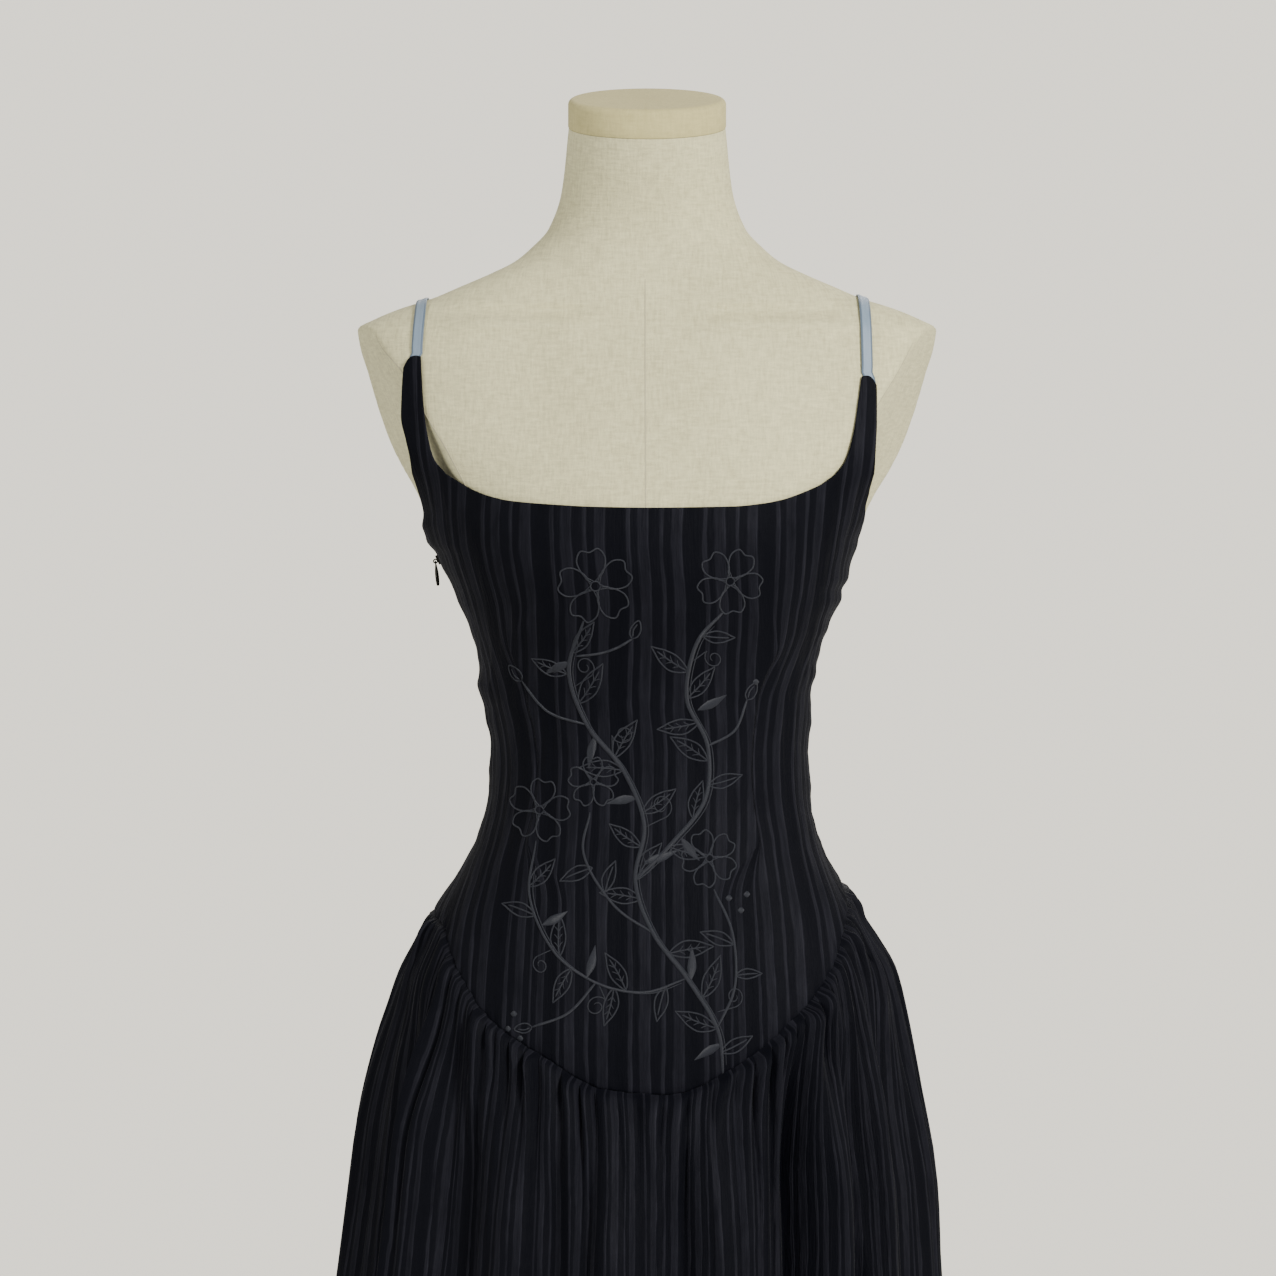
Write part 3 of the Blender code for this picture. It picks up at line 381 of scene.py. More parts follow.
# Relief of the bodice

# Puckers beside the right side seam and the side seams' own line: height, middle and reach
RIGHT_SIDE_BUMPS = [
    (0.0021, 1.2015, 0.0052), (0.0022, 1.0915, 0.0070), (0.0010, 1.148, 0.007),
    (0.0008, 1.172, 0.006), (-0.0012, 1.078, 0.005), (0.0010, 1.0655, 0.006),
]
SIDE_SEAM_SINK = (-0.0009, math.pi / 2, 0.016)

# Slanting creases of the waist: height above the floor, reach in degrees from the side seam, height
WAIST_CREASES = [
    (1.118, 26, 0.0008), (1.094, 34, -0.0009), (1.070, 30, 0.0009), (1.049, 38, -0.0008),
    (1.027, 28, 0.0008), (1.006, 32, -0.0007), (0.984, 24, 0.0006),
]


def sewn_line(away, z, top, foot):
    """How far a dart's sewn line is sunk in, as a share, at a distance from it."""
    return bell(away / 0.0011) * rise(z, top, -0.012) * rise(z, foot, 0.012)


def dart_relief(angle, z):
    """Sewn line of each dart, with a shallow pinch at its ends."""
    away = np.abs(np.abs(arc_length(angle, z) - CLOTH_CENTRE) - dart_arc(z))
    pinch = bumps(z, (0.0007, DART_TOP + 0.004, 0.010), (0.0006, DART_FOOT - 0.006, 0.012))
    return -0.00055 * sewn_line(away, z, DART_TOP, DART_FOOT) + pinch * bell(away / 0.007)


def side_relief(angle, z):
    """Puckers beside the side seams of the bodice front and creases at the waist."""
    beside = rise(np.abs(angle), math.radians(52), math.radians(30))
    wave = 0.5 + 0.5 * np.sin(2 * math.pi * (z - 1.124 + 0.0022 * np.sin(z * 190)) / 0.0190)
    left = 0.0019 * wave * rise(z, 1.120, 0.02) * rise(z, 1.232, -0.02)
    left = left + bumps(z, (0.0012, 1.099, 0.006), (-0.0009, 1.086, 0.006))
    left = left * (1 - bumps(z, (0.8, 1.196, 0.016))) + bumps(z, (-0.0011, 1.190, 0.0065))
    right = 0.0026 * rise(z, 1.1815, 0.008) * rise(z, 1.214, -0.022) + bumps(z, *RIGHT_SIDE_BUMPS)
    return beside * np.where(angle > 0, left, right)


def waist_relief(angle, z):
    """Short slanting creases that run in from the side seams at the waist and the hips."""
    turn = np.degrees(np.abs(angle))
    height = z + 0.00042 * (turn - 90) + np.where(angle > 0, 0.006, -0.006)
    return sum(
        size * bell((height - at) / 0.0055) * rise(turn, 90 - reach, reach) for at, reach, size in WAIST_CREASES
    )


def cloth_noise(across, z, seed):
    """Faint unevenness of hanging cloth."""

    def layer(number, wide, high, moved=0.0, first=20):
        return smooth_noise((across + moved) / wide + first, z / high + 20, seed + number)

    drift = 0.0030 * layer(2, 0.040, 0.045)
    ribs = 0.00036 * layer(3, 0.0047, 0.075, drift, 40) + 0.00014 * layer(4, 0.0026, 0.034, drift, 60)
    return 0.00034 * layer(0, 0.030, 0.055) + 0.00018 * layer(1, 0.009, 0.026) + ribs


def clear_of_form(relief, z):
    """Relief of a bodice panel, held back where it would go into the form."""
    deepest = 0.0016 - body_at(z)[..., 4]
    return deepest + 0.0003 * np.logaddexp(0, (relief - deepest) / 0.0003)


def seam_relief(angle, z, start, gathers):
    """Edge of the bodice at the gathered seam: it turns in, and puckers with the gathers."""
    turns = (np.degrees(angle) - start) / 180 * gathers
    above = np.maximum(z - seam_z(np.degrees(angle)), 0.0)
    pucker = 0.00050 * np.cos(2 * math.pi * turns + 1.1 * np.sin(1.7 * turns)) * bell(above / 0.0070)
    return pucker - 0.0011 * np.exp(-above / 0.0015) * (0.75 + 0.25 * np.cos(2 * math.pi * turns))


def front_relief(angle, z):
    """Height of the bodice front over the plain bodice."""
    seam_side = bumps(np.abs(angle), SIDE_SEAM_SINK) * rise(z, SIDE_SEAM_TOP + 0.002, -0.006)
    relief = dart_relief(angle, z) + side_relief(angle, z) + waist_relief(angle, z) + seam_side
    relief = relief + seam_relief(angle, z, -90, FRONT_GATHERS) + cloth_noise(arc_length(angle, z), z, 5)
    return clear_of_form(relief, z)


def back_relief(angle, z):
    """Height of the bodice back over the plain bodice."""
    mirrored = math.pi - angle
    middle = arc_length(mirrored, z, True)
    relief = side_relief(mirrored, z) * 0.8 + waist_relief(mirrored, z - 0.004)
    relief = relief - 0.0005 * sewn_line(np.abs(middle) - 0.068, z, 1.052, 0.965)
    relief = relief + seam_relief(angle, z, 90, BACK_GATHERS) + bumps(np.abs(mirrored), SIDE_SEAM_SINK)
    return clear_of_form(relief + cloth_noise(middle, z, 15), z)


# Meshes


def make_mesh(name, points, faces, uvs, material, sharp=50):
    """Object from points, faces and a flat place for each point. Edges over sharp degrees stay sharp."""
    mesh = bpy.data.meshes.new(name)
    mesh.from_pydata(np.asarray(points).tolist(), [], [tuple(face) for face in faces])
    layer = mesh.uv_layers.new(name="cloth")
    corners = np.empty(len(mesh.loops), int)
    mesh.loops.foreach_get("vertex_index", corners)
    layer.data.foreach_set("uv", np.asarray(uvs, float)[corners].ravel())
    mesh.polygons.foreach_set("use_smooth", [True] * len(mesh.polygons))
    mesh.set_sharp_from_angle(angle=math.radians(sharp))
    mesh.materials.append(material)
    mesh.update()
    thing = bpy.data.objects.new(name, mesh)
    bpy.context.scene.collection.objects.link(thing)
    return thing


def grid_faces(index):
    """Quads of a grid of point numbers, where -1 is a gap. Columns run with the angle and rows run down."""
    quads = np.stack([index[:-1, :-1], index[:-1, 1:], index[1:, 1:], index[1:, :-1]], -1).reshape(-1, 4)
    return quads[(quads >= 0).all(axis=1)]


def numbered(grid):
    """Number of each point of a grid of points."""
    return np.arange(grid.shape[0] * grid.shape[1]).reshape(grid.shape[:2])


def keep_in_half(side, *sheets):
    """Holds sheets back in their own half, in front (-1) or behind (1), where they meet at the side seams."""
    for sheet in sheets:
        sheet[..., 1] = side * np.maximum(side * sheet[..., 1], SIDE_CLEARANCE)


def rim_faces(quads, shift):
    """Quads that close the edge between a sheet and its copy, shift points later."""
    starts = quads.ravel()
    ends = np.roll(quads, -1, axis=1).ravel()
    size = shift + 1
    forward = starts * size + ends
    backward = ends * size + starts
    open_edge = ~np.isin(forward, backward)
    starts = starts[open_edge]
    ends = ends[open_edge]
    return np.stack([ends, starts, starts + shift, ends + shift], 1)


def make_wall(name, outer, inner, index, uvs, material):
    """Closed wall between two sheets that share a grid of point numbers. Its rim is rounded off."""
    quads = grid_faces(index)
    count = len(outer)
    rim = rim_faces(quads, count)
    edge = np.unique(rim[:, :2])
    between = inner[edge] - outer[edge]
    outer = outer.copy()
    inner = inner.copy()
    outer[edge] += between * 0.30
    inner[edge] -= between * 0.30
    faces = np.concatenate([quads, quads[:, ::-1] + count, rim])
    return make_mesh(name, np.concatenate([outer, inner]), faces, np.concatenate([uvs, uvs]), material)


def uneven(count, first, both=True):
    """Shares from 0 to 1, with a small first step and, with both, a small last one."""
    shares = np.linspace(0, 1, count + 1)
    extra = [first, first * 2.4]
    if both:
        extra += [1 - first, 1 - first * 2.4]
    return np.unique(np.round(np.concatenate([shares, extra]), 9))


# Bodice


def neckline_z(x):
    return neckline_at(x)[..., 0]


def armhole_x(side, foot, z):
    share = (z - SIDE_SEAM_TOP) / (foot[0] - SIDE_SEAM_TOP)
    body = body_at(SIDE_SEAM_TOP)
    seam_x = body[..., 0] + body[..., 4] + side * sway_at(SIDE_SEAM_TOP)[..., 0]
    return seam_x + (foot[1] - seam_x) * share - ARMHOLE_HOLLOW * np.sin(math.pi * share)


def outer_angle(side, z):
    """Angle of the bodice front's outer edge."""
    foot = POINT_ROWS_OF[side][0]
    low = front_angle(side * armhole_x(side, foot, np.clip(z, SIDE_SEAM_TOP, foot[0])), z)
    high = front_angle(side * POINT_AT[side](z)[..., 0], z)
    return np.where(z <= SIDE_SEAM_TOP, side * math.pi / 2, np.where(z <= foot[0], low, high))


def corner_angle(side, z):
    """Angle of the line down from the inner corner of a point."""
    foot = POINT_ROWS_OF[side][0]
    high = front_angle(side * POINT_AT[side](z)[..., 1], z)
    start = front_angle(np.array(side * foot[2]), np.array(foot[0]))
    low = side * math.radians(CORNER_ANGLE)
    return np.where(z >= foot[0], high, start + (low - start) * rise(z, foot[0], -0.09))


def side_patch(side, share, row):
    """Angle and height beside the neckline. share is 0 at the outer edge, and row is negative up the point."""
    foot = POINT_ROWS_OF[side][0]
    share, row = np.broadcast_arrays(share, row)
    armhole = foot[0] + (SIDE_SEAM_TOP - foot[0]) * row / ARMHOLE_ROWS
    below = (row - ARMHOLE_ROWS) / (BODICE_ROWS - ARMHOLE_ROWS)
    seam_side = SIDE_SEAM_TOP + (seam_z(side * 90.0) - SIDE_SEAM_TOP) * below
    edge_z = np.where(row <= ARMHOLE_ROWS, armhole, seam_side)
    inner_top = neckline_z(np.array(side * foot[2]))
    inner_z = inner_top + (seam_z(side * float(CORNER_ANGLE)) - inner_top) * row / BODICE_ROWS
    z = edge_z + (inner_z - edge_z) * share
    low_angle = side * (90 + (CORNER_ANGLE - 90) * share)
    straight = seam_z(side * 90.0) + (seam_z(side * float(CORNER_ANGLE)) - seam_z(side * 90.0)) * share
    z = z + (seam_z(low_angle) - straight) * np.clip(row / BODICE_ROWS, 0, 1) ** 3
    top = foot[0] + (inner_top - foot[0]) * share
    keys = np.array([point[0] for point in POINT_ROWS_OF[side]])
    up = -np.minimum(row, 0.0)
    low = np.clip(np.floor(up).astype(int), 0, len(keys) - 2)
    start = np.where(low == 0, top, keys[low])
    climbed = start + (keys[low + 1] - start) * (up - low)
    rounding = TIP_DROP[side] * (1 - share) ** 4 + 0.0009 * share**6
    climbed = climbed - rounding * smooth_step((up - 4.0) / 1.0)
    z = np.where(row < 0, climbed, z)
    outer = outer_angle(side, z)
    return outer + (corner_angle(side, z) - outer) * share, z


def centre_patch(share, row):
    """Angle and height below the neckline. share is 0 at the right and 1 at the left."""
    share, row = np.broadcast_arrays(share, row)
    right_top, left_top = (
        front_angle(np.array(side * POINT_ROWS_OF[side][0][2]), np.array(POINT_ROWS_OF[side][0][0]))
        for side in (-1, 1)
    )
    body = body_at(NECK_LOW)

    def section_x(angle):
        return oval(angle, body[0], body[0], body[1], body[2], body[3])[0]

    top_x = section_x(right_top + (left_top - right_top) * share)
    top_z = neckline_z(top_x * RIGHT_POINT[0][2] / abs(section_x(right_top)))
    low_z = seam_z(CORNER_ANGLE * (2 * share - 1))
    z = top_z + (low_z - top_z) * row / BODICE_ROWS
    right = corner_angle(-1, z)
    return right + (corner_angle(1, z) - right) * share, z


def bodice_panel(name, side, angle, z, relief, cloth, index, material):
    """Wall of a bodice panel. cloth is each point's place across it."""
    outer = bodice_point(angle, z, -relief)
    inner = bodice_point(angle, z, BODICE_WALL - relief)
    keep_in_half(side, outer, inner)
    return make_wall(name, outer, inner, index, np.stack([cloth, z], 1), material)


def build_bodice_front(material):
    up = -5 * (1 - uneven(POINT_ROWS, 0.008, both=False))
    rows = np.concatenate([up[:-1], BODICE_ROWS * uneven(PANEL_ROWS, 0.0018)])[None, :]
    shares = uneven(SIDE_COLUMNS, 0.02)[:, None]
    across = np.linspace(0, 1, CENTRE_COLUMNS + 1)[1:-1, None]
    patches = [side_patch(-1, shares, rows), centre_patch(across, rows), side_patch(1, shares[::-1], rows)]
    angle, z = (np.concatenate(parts) for parts in zip(*patches))
    there = np.ones(angle.shape, bool)
    there[len(shares) : -len(shares), : len(up) - 1] = False
    angle = angle[there]
    z = z[there]
    index = np.full(there.shape, -1)
    index[there] = np.arange(there.sum())
    cloth = front_cloth(angle, z)
    return bodice_panel("bodice_front_cloth", -1, angle, z, front_relief(angle, z), cloth, index, material)


def build_bodice_back(material):
    turn = 90 + 180 * uneven(BACK_COLUMNS, 0.0015)[:, None]
    angle = np.radians(turn)
    top = back_top_at(turn)[..., 0]
    z = top + (seam_z(turn) - top) * uneven(BACK_PANEL_ROWS, 0.0035)[None, :]
    angle = np.broadcast_to(angle, z.shape)
    index = numbered(z)
    angle = angle.ravel()
    z = z.ravel()
    cloth = arc_length(math.pi - angle, z, True) + 0.011
    return bodice_panel("bodice_back_cloth", 1, angle, z, back_relief(angle, z), cloth, index, material)


# Skirt


def gather_folds(turns, below, gathers, seed):
    """Height of the small gathers. Each has its own width, height, length and drift."""
    rng = np.random.default_rng(seed)
    shift = rng.uniform(-0.31, 0.31, gathers + 1)
    drift = rng.uniform(-0.34, 0.34, gathers + 1)
    shift[[0, -1]] = 0
    drift[[0, -1]] = 0
    size = rng.uniform(0.30, 1.35, gathers)
    length = GATHER_LENGTH * rng.uniform(0.35, 2.6, gathers)
    skew = rng.uniform(0.62, 1.60, gathers)
    size = size * (1 + 0.55 * np.sin(np.arange(gathers) * 0.83 + seed) * np.sin(np.arange(gathers) * 0.37 + 1.0))
    total = np.zeros_like(turns)
    for row in range(turns.shape[1]):
        depth = below[:, row]
        valleys = np.arange(gathers + 1) + shift + drift * min(float(depth.mean()) / 0.10, 1.0)
        low = np.clip(np.searchsorted(valleys, turns[:, row], "right") - 1, 0, gathers - 1)
        share = np.clip((turns[:, row] - valleys[low]) / (valleys[low + 1] - valleys[low]), 0, 1)
        climb = np.clip(depth / GATHER_PEAK, 0, None)
        near = GATHER_AT_SEAM * smooth_step(depth / 0.003) + GATHER_HEIGHT * climb * np.exp(1 - climb)
        fade = (GATHER_AT_SEAM + GATHER_HEIGHT) * np.exp(-(depth - GATHER_PEAK) / length[low])
        strength = np.where(climb < 1, near, fade)
        power = 0.70 + 0.80 * smooth_step(depth / 0.06)
        total[:, row] = 2 * strength * size[low] * np.sin(math.pi * share ** skew[low]) ** power
    return total


def crease_folds(turned, down, below, creases):
    """Height of the soft creases."""
    total = np.zeros_like(turned)
    for top, hem, start, end, width, height in creases:
        away = np.abs(turned - (top + (hem - top) * down)) / width
        fade = rise(below, start, 0.05) * rise(below, end, -0.16)
        total += 1.15 * height * fade * np.exp(-(away**1.35))
    return total


def fold_height(angle, folds):
    """Height at the seam's angles of the folds of a table, and the angle that each has at the hem."""
    table = np.array(folds)
    low = np.clip(np.searchsorted(table[:, 0], angle, "right") - 1, 0, len(table) - 2)
    share = (angle - table[low, 0]) / (table[low + 1, 0] - table[low, 0])
    fold = table[low, 2] + (table[low + 1, 2] - table[low, 2]) * smooth_step(share)
    return fold, table[low, 1] + (table[low + 1, 1] - table[low, 1]) * share


def skirt_surface(start, gathers, folds, creases, seed):
    """Outside of half the skirt, as a grid of points, with the distances below the seam."""
    columns = gathers * COLUMNS_A_GATHER
    shares = np.linspace(0, 1, columns + 1)[:, None]
    angle = start + 180 * shares
    drop = seam_z(angle) - HEM
    step = np.arange(1, LOWER_ROWS + 1)[None, :] / LOWER_ROWS
    lower = NEAR_END + (drop - NEAR_END) * (0.75 * step + 0.25 * step**1.6)
    fixed = np.broadcast_to(NEAR_ROWS, (columns + 1, len(NEAR_ROWS)))
    below = np.concatenate([fixed, lower[:, :-1], drop - 0.0016, drop - 0.0005, lower[:, -1:]], axis=1)
    angle, turns = (np.broadcast_to(values, below.shape) for values in (angle, shares * gathers))
    under = np.maximum(below, 0.0)
    down = under / drop
    z = seam_z(angle) - below
    fold, hem_angle = fold_height(angle, folds)
    turned = angle + (hem_angle - angle) * down
    turn = np.radians(turned)
    full = np.stack(oval(turn, *np.moveaxis(skirt_at(z), -1, 0), SKIRT_POWER), -1)
    level = bodice_point(turn, np.maximum(z, BODY[0][0]), -SKIRT_PROUD)[..., :2]
    level = level + (full - level) * (1 - np.exp(-under / PUFF_LENGTH))[..., None]
    from_side = 90 - np.abs(angle - start - 90)
    growth = rise(under, FOLD_START, FOLD_LENGTH - 0.050 * rise(from_side, 10, 25)) * (1 + FOLD_GROWTH * down)
    calm = SIDE_CALM + (1 - SIDE_CALM) * smooth_step(from_side / CALM_REACH)
    height = growth * fold + calm * gather_folds(turns, under, gathers, seed)
    height = height + crease_folds(turned, down, under, creases) * smooth_step(from_side / 4)
    cloth = shares * SKIRT_CUT
    wander = smooth_noise(cloth / 0.0145 + 9, below / 0.19 + 9, seed + 7) * 0.0021
    finer = smooth_noise(cloth / 0.0060 + 9, below / 0.10 + 9, seed + 8) * 0.0008
    height = height + (wander + finer) * smooth_step(under / 0.05) * smooth_step(from_side / 7)
    height = height - 0.0024 * rise(below, 0.0024, -0.0030) - 0.0008 * smooth_step(-below / 0.002)
    level = level * (1 + height / np.linalg.norm(level, axis=-1))[..., None]
    return np.concatenate([level, z[..., None]], axis=-1), below


def grid_normals(points):
    """Outward direction at each point of a grid whose columns run with the angle and rows run down."""
    across = np.gradient(points, axis=0)
    down = np.gradient(points, axis=1)
    normal = np.cross(down, across)
    normal /= np.maximum(np.linalg.norm(normal, axis=2, keepdims=True), 1e-12)
    outward = np.sign((normal[..., 0] * points[..., 0] + normal[..., 1] * points[..., 1]).mean())
    return normal * outward


def build_skirt(name, start, gathers, folds, creases, side, seed, material):
    """Half the skirt, in front (-1) or behind (1), from its first angle on."""
    points, below = skirt_surface(start, gathers, folds, creases, seed)
    inner = points - grid_normals(points) * SKIRT_SHELL
    keep_in_half(side, points, inner)
    level = int(points.shape[1] * 0.72)
    cloth = travelled(points[:, level])
    uvs = np.stack(np.broadcast_arrays((cloth - cloth[-1] / 2)[:, None], -below), -1).reshape(-1, 2)
    return make_wall(name, points.reshape(-1, 3), inner.reshape(-1, 3), numbered(points), uvs, material)


# Form and stand


def plate_share(points, side):
    """Share of each point's distance from the axis at which it meets the arm plates, over 1 inside them."""
    shares = []
    for place, normal in ARM_PLATES:
        n = np.array(normal) * (side, 1, 1)
        reach = (np.array(place) * (side, 1, 1) - points * (0, 0, 1)) @ n
        across = points[..., 0] * n[0] + points[..., 1] * n[1]
        ahead = across > 1e-4
        shares.append(np.where(ahead, reach / np.where(ahead, across, 1), 9.0))
    return np.clip(np.maximum(*shares), -9, 9)


def clip_to_plates(points):
    """Moves what lies beyond the arm plates in to them, level and towards the axis, with a rounded edge."""
    result = points.copy()
    for side in (-1, 1):
        over = (1 - plate_share(points, side)) / PLATE_ROUNDING
        cut = PLATE_ROUNDING * np.logaddexp(0, np.clip(over, -60, 400))
        cut = np.where(points[..., 2] > PLATE_LOW, cut, 0.0)
        result[..., :2] *= (1 - cut)[..., None]
    return result


def lean(points):
    share = smooth_step((points[..., 2] - NECK_BEND) / (BODY_TOP - NECK_BEND))
    moved = points.copy()
    moved[..., 1] = points[..., 1] - NECK_FORWARD * share
    moved[..., 2] = points[..., 2] + points[..., 1] * math.tan(NECK_LEAN) * share
    return moved


def collar_relief(angle, z):
    """Soft collarbones and the hollow over each."""
    x = np.abs(body_point(angle, z, 0.0)[..., 0])
    above = z - (1.3375 + 0.012 * x)
    ridge = bumps(above, (0.0046, -0.003, 0.0055), (-0.0040, 0.0060, 0.0050))
    return ridge * rise(x, 0.026, 0.030) * rise(x, 0.150, -0.040) * (np.cos(angle) > 0)


def form_surface(angle, z):
    """Points of the form's finished surface below the neck's lean."""
    return clip_to_plates(body_point(angle, z, collar_relief(angle, z)))


def lofted(name, rings, uvs, material, sharp=50):
    """Closed loft through rings of points, from the bottom up, with flat ends."""
    rings = np.asarray(rings)
    index = numbered(rings)
    after = np.roll(index, -1, axis=1)
    faces = np.stack([index[:-1], after[:-1], after[1:], index[1:]], -1).reshape(-1, 4).tolist()
    faces += [index[0][::-1].tolist(), index[-1].tolist()]
    return make_mesh(name, rings.reshape(-1, 3), faces, uvs, material, sharp)


def build_torso(material):
    keys = [row[0] for row in BODY]
    heights = []
    for low, high in zip(keys, keys[1:]):
        count = max(math.ceil((high - low) / TORSO_SPACING), 5 if low > SHOULDER_LOW else 1)
        heights += np.linspace(low, high, count, endpoint=False).tolist()
    heights = np.array(heights + [keys[-1]])[:, None]
    angle, z = np.broadcast_arrays(full_turn(240)[None, :], heights)
    points = lean(form_surface(angle, z))
    closed = np.concatenate([points, points[:, :1]], axis=1)
    steps = np.linalg.norm(np.diff(closed[..., :2], axis=1), axis=2)
    along = np.cumsum(steps, axis=1) - steps
    past_back = np.arange(angle.shape[1]) > angle.shape[1] // 2
    along = along - past_back * steps.sum(axis=1, keepdims=True)
    uvs = np.stack([along, z], -1).reshape(-1, 2)
    return lofted("form_torso_linen", points, uvs, material, sharp=35)


def full_turn(count):
    """Angles once round, without the last, which would be the first again."""
    return np.linspace(0, 2 * math.pi, count + 1)[:-1]


def rounded_edge(radius, top, rounding, steps):
    """Radius and height pairs over a rounded edge, up to its flat top."""
    turns = [math.pi / 2 * step / steps for step in range(1, steps + 1)]
    return [(radius - rounding * (1 - math.cos(turn)), top - rounding * (1 - math.sin(turn))) for turn in turns]


def build_cap(material):
    rounding = 0.0040
    rows = [(-0.0004, 0.0), (0.0, 0.0006), (0.0, 0.0060), (0.0, CAP_HEIGHT - rounding)]
    rows += rounded_edge(0.0, CAP_HEIGHT, rounding, 8)
    rows += [(-0.012, CAP_HEIGHT - 0.0001), (-0.030, CAP_HEIGHT - 0.0002), (-0.046, CAP_HEIGHT - 0.0002)]
    angle = full_turn(128)
    rings = []
    uvs = []
    for out, height in rows:
        width = CAP_RADIUS + out
        depth = CAP_DEPTH + out
        x, y = oval(angle, width, width, depth, depth, 2.0)
        z = BODY_TOP + SEAT_GAP + height + y * math.tan(NECK_LEAN)
        rings.append(np.stack([x, y - NECK_FORWARD, z], -1))
        uvs.append(np.stack([angle * 0.05, np.full_like(angle, height - out)], -1))
    return lofted("form_neck_cap_cloth", rings, np.concatenate(uvs), material, sharp=60)


def lathe(name, profile, material, segments=96):
    """Round solid about the vertical axis from radius and height pairs, from the bottom up."""
    angle = full_turn(segments)
    circle = np.stack([np.sin(angle), -np.cos(angle), np.zeros(segments)], -1)
    rings = [circle * radius + (0, 0, z) for radius, z in profile]
    uvs = np.concatenate([np.stack([angle * 0.05, np.full_like(angle, z)], -1) for _, z in profile])
    return lofted(name, rings, uvs, material, sharp=60)


def build_stand(material):
    rounding = 0.004
    base = [(0.02, 0.0), (BASE_RADIUS - 0.0012, 0.0), (BASE_RADIUS, 0.0012), (BASE_RADIUS, BASE_HEIGHT - rounding)]
    base += rounded_edge(BASE_RADIUS, BASE_HEIGHT, rounding, 6) + [(0.10, BASE_HEIGHT), (0.03, BASE_HEIGHT)]
    low = BASE_HEIGHT + SEAT_GAP
    high = BODY[0][0] - SEAT_GAP
    narrow = POLE_RADIUS - 0.0006
    pole = [(narrow, low), (POLE_RADIUS, low + 0.0006), (POLE_RADIUS, high - 0.0006), (narrow, high)]
    return lathe("form_base_plate", base, material), lathe("form_pole_tube", pole, material, 48)


# Ribbons on a surface


def travelled(points):
    """Distance along a line of points at each of them."""
    return np.concatenate([[0], np.cumsum(np.linalg.norm(np.diff(points, axis=0), axis=1))])


def resample(points, spacing):
    """Points at an even spacing along a line through the given ones."""
    points = np.asarray(points, float)
    along = travelled(points)
    at = np.linspace(0, along[-1], max(int(along[-1] / spacing), 2) + 1)
    return np.stack([np.interp(at, along, column) for column in points.T], 1)


def through(points, steps=14):
    """Smooth line through given points."""
    points = np.asarray(points, float)
    padded = np.concatenate([[2 * points[0] - points[1]], points, [2 * points[-1] - points[-2]]])
    t = np.linspace(0, 1, steps, endpoint=False)[:, None]
    pieces = [
        0.5 * (2 * b + (c - a) * t + (2 * a - 5 * b + 4 * c - d) * t**2 + (3 * b - a - 3 * c + d) * t**3)
        for a, b, c, d in zip(padded, padded[1:], padded[2:], padded[3:])
    ]
    return np.concatenate(pieces + [points[-1:]])


def front_place(flat):
    """Points over the bodice front at given x and z."""
    x, z = np.moveaxis(np.asarray(flat, float), -1, 0)
    angle = front_angle(x, z)
    return bodice_point(angle, z, -front_relief(angle, z))


def form_place(flat):
    """Points over the front of the bare form at given x and z."""
    x, z = np.moveaxis(np.asarray(flat, float), -1, 0)
    return form_surface(surface_angle(x, z, 0.0), z)


def unit(vectors):
    """Vectors of length 1 in the same directions."""
    return vectors / np.maximum(np.linalg.norm(vectors, axis=-1, keepdims=True), 1e-12)


def surface_normal(place, flat):
    step = 0.0006
    across = place(flat + (step, 0)) - place(flat - (step, 0))
    return unit(np.cross(across, place(flat + (0, step)) - place(flat - (0, step))))


# Section of a raised line, from side to side, and the size of its ends
PROFILE = [(-1.0, -0.10), (-0.82, 0.52), (-0.42, 0.90), (0.0, 1.0), (0.42, 0.90), (0.82, 0.52), (1.0, -0.10)]
END_SIZE = 0.35


def raised_line(place, flat, width, height, spacing=0.0009):
    """Points, faces and flat places of one raised line of thread that follows x and z pairs on a surface."""
    flat = resample(flat, spacing)
    middle = place(flat)
    normal = surface_normal(place, flat)
    across = np.cross(normal, unit(np.gradient(middle, axis=0)))
    share = np.linspace(0, 1, len(flat))
    ends = np.sqrt(np.clip(np.minimum(share, 1 - share) / 0.10, 0, 1))
    size = (END_SIZE + (1 - END_SIZE) * ends)[:, None, None]
    aside, up = np.array(PROFILE).T[:, None, :, None]
    points = middle[:, None] + across[:, None] * (aside * width / 2 * size) + normal[:, None] * (up * height * size)
    uvs = np.stack(np.broadcast_arrays(travelled(middle)[:, None], aside[..., 0] * width / 2), -1)
    return points.reshape(-1, 3), grid_faces(numbered(points))[:, ::-1], uvs.reshape(-1, 2)


def satin_shape(place, spine, widths, height):
    """Filled shape of thread, widest where widths says, raised like a pad along a spine of x and z pairs."""
    spine = resample(spine, 0.0010)
    share = np.linspace(0, 1, len(spine))
    width = np.interp(share, np.linspace(0, 1, len(widths)), widths)[:, None]
    along = unit(np.gradient(spine, axis=0))
    side = np.stack([along[:, 1], -along[:, 0]], 1)
    across = np.linspace(-1, 1, 9)
    aside = across * width / 2
    flat = spine[:, None] + side[:, None] * aside[..., None]
    lift = height * np.sqrt(1 - across**2) * width / max(widths)
    points = place(flat) + surface_normal(place, flat) * (lift[..., None] - 0.00006)
    uvs = np.stack(np.broadcast_arrays(share[:, None] * len(spine) * 0.001, aside), -1)
    return points.reshape(-1, 3), grid_faces(numbered(points)), uvs.reshape(-1, 2)


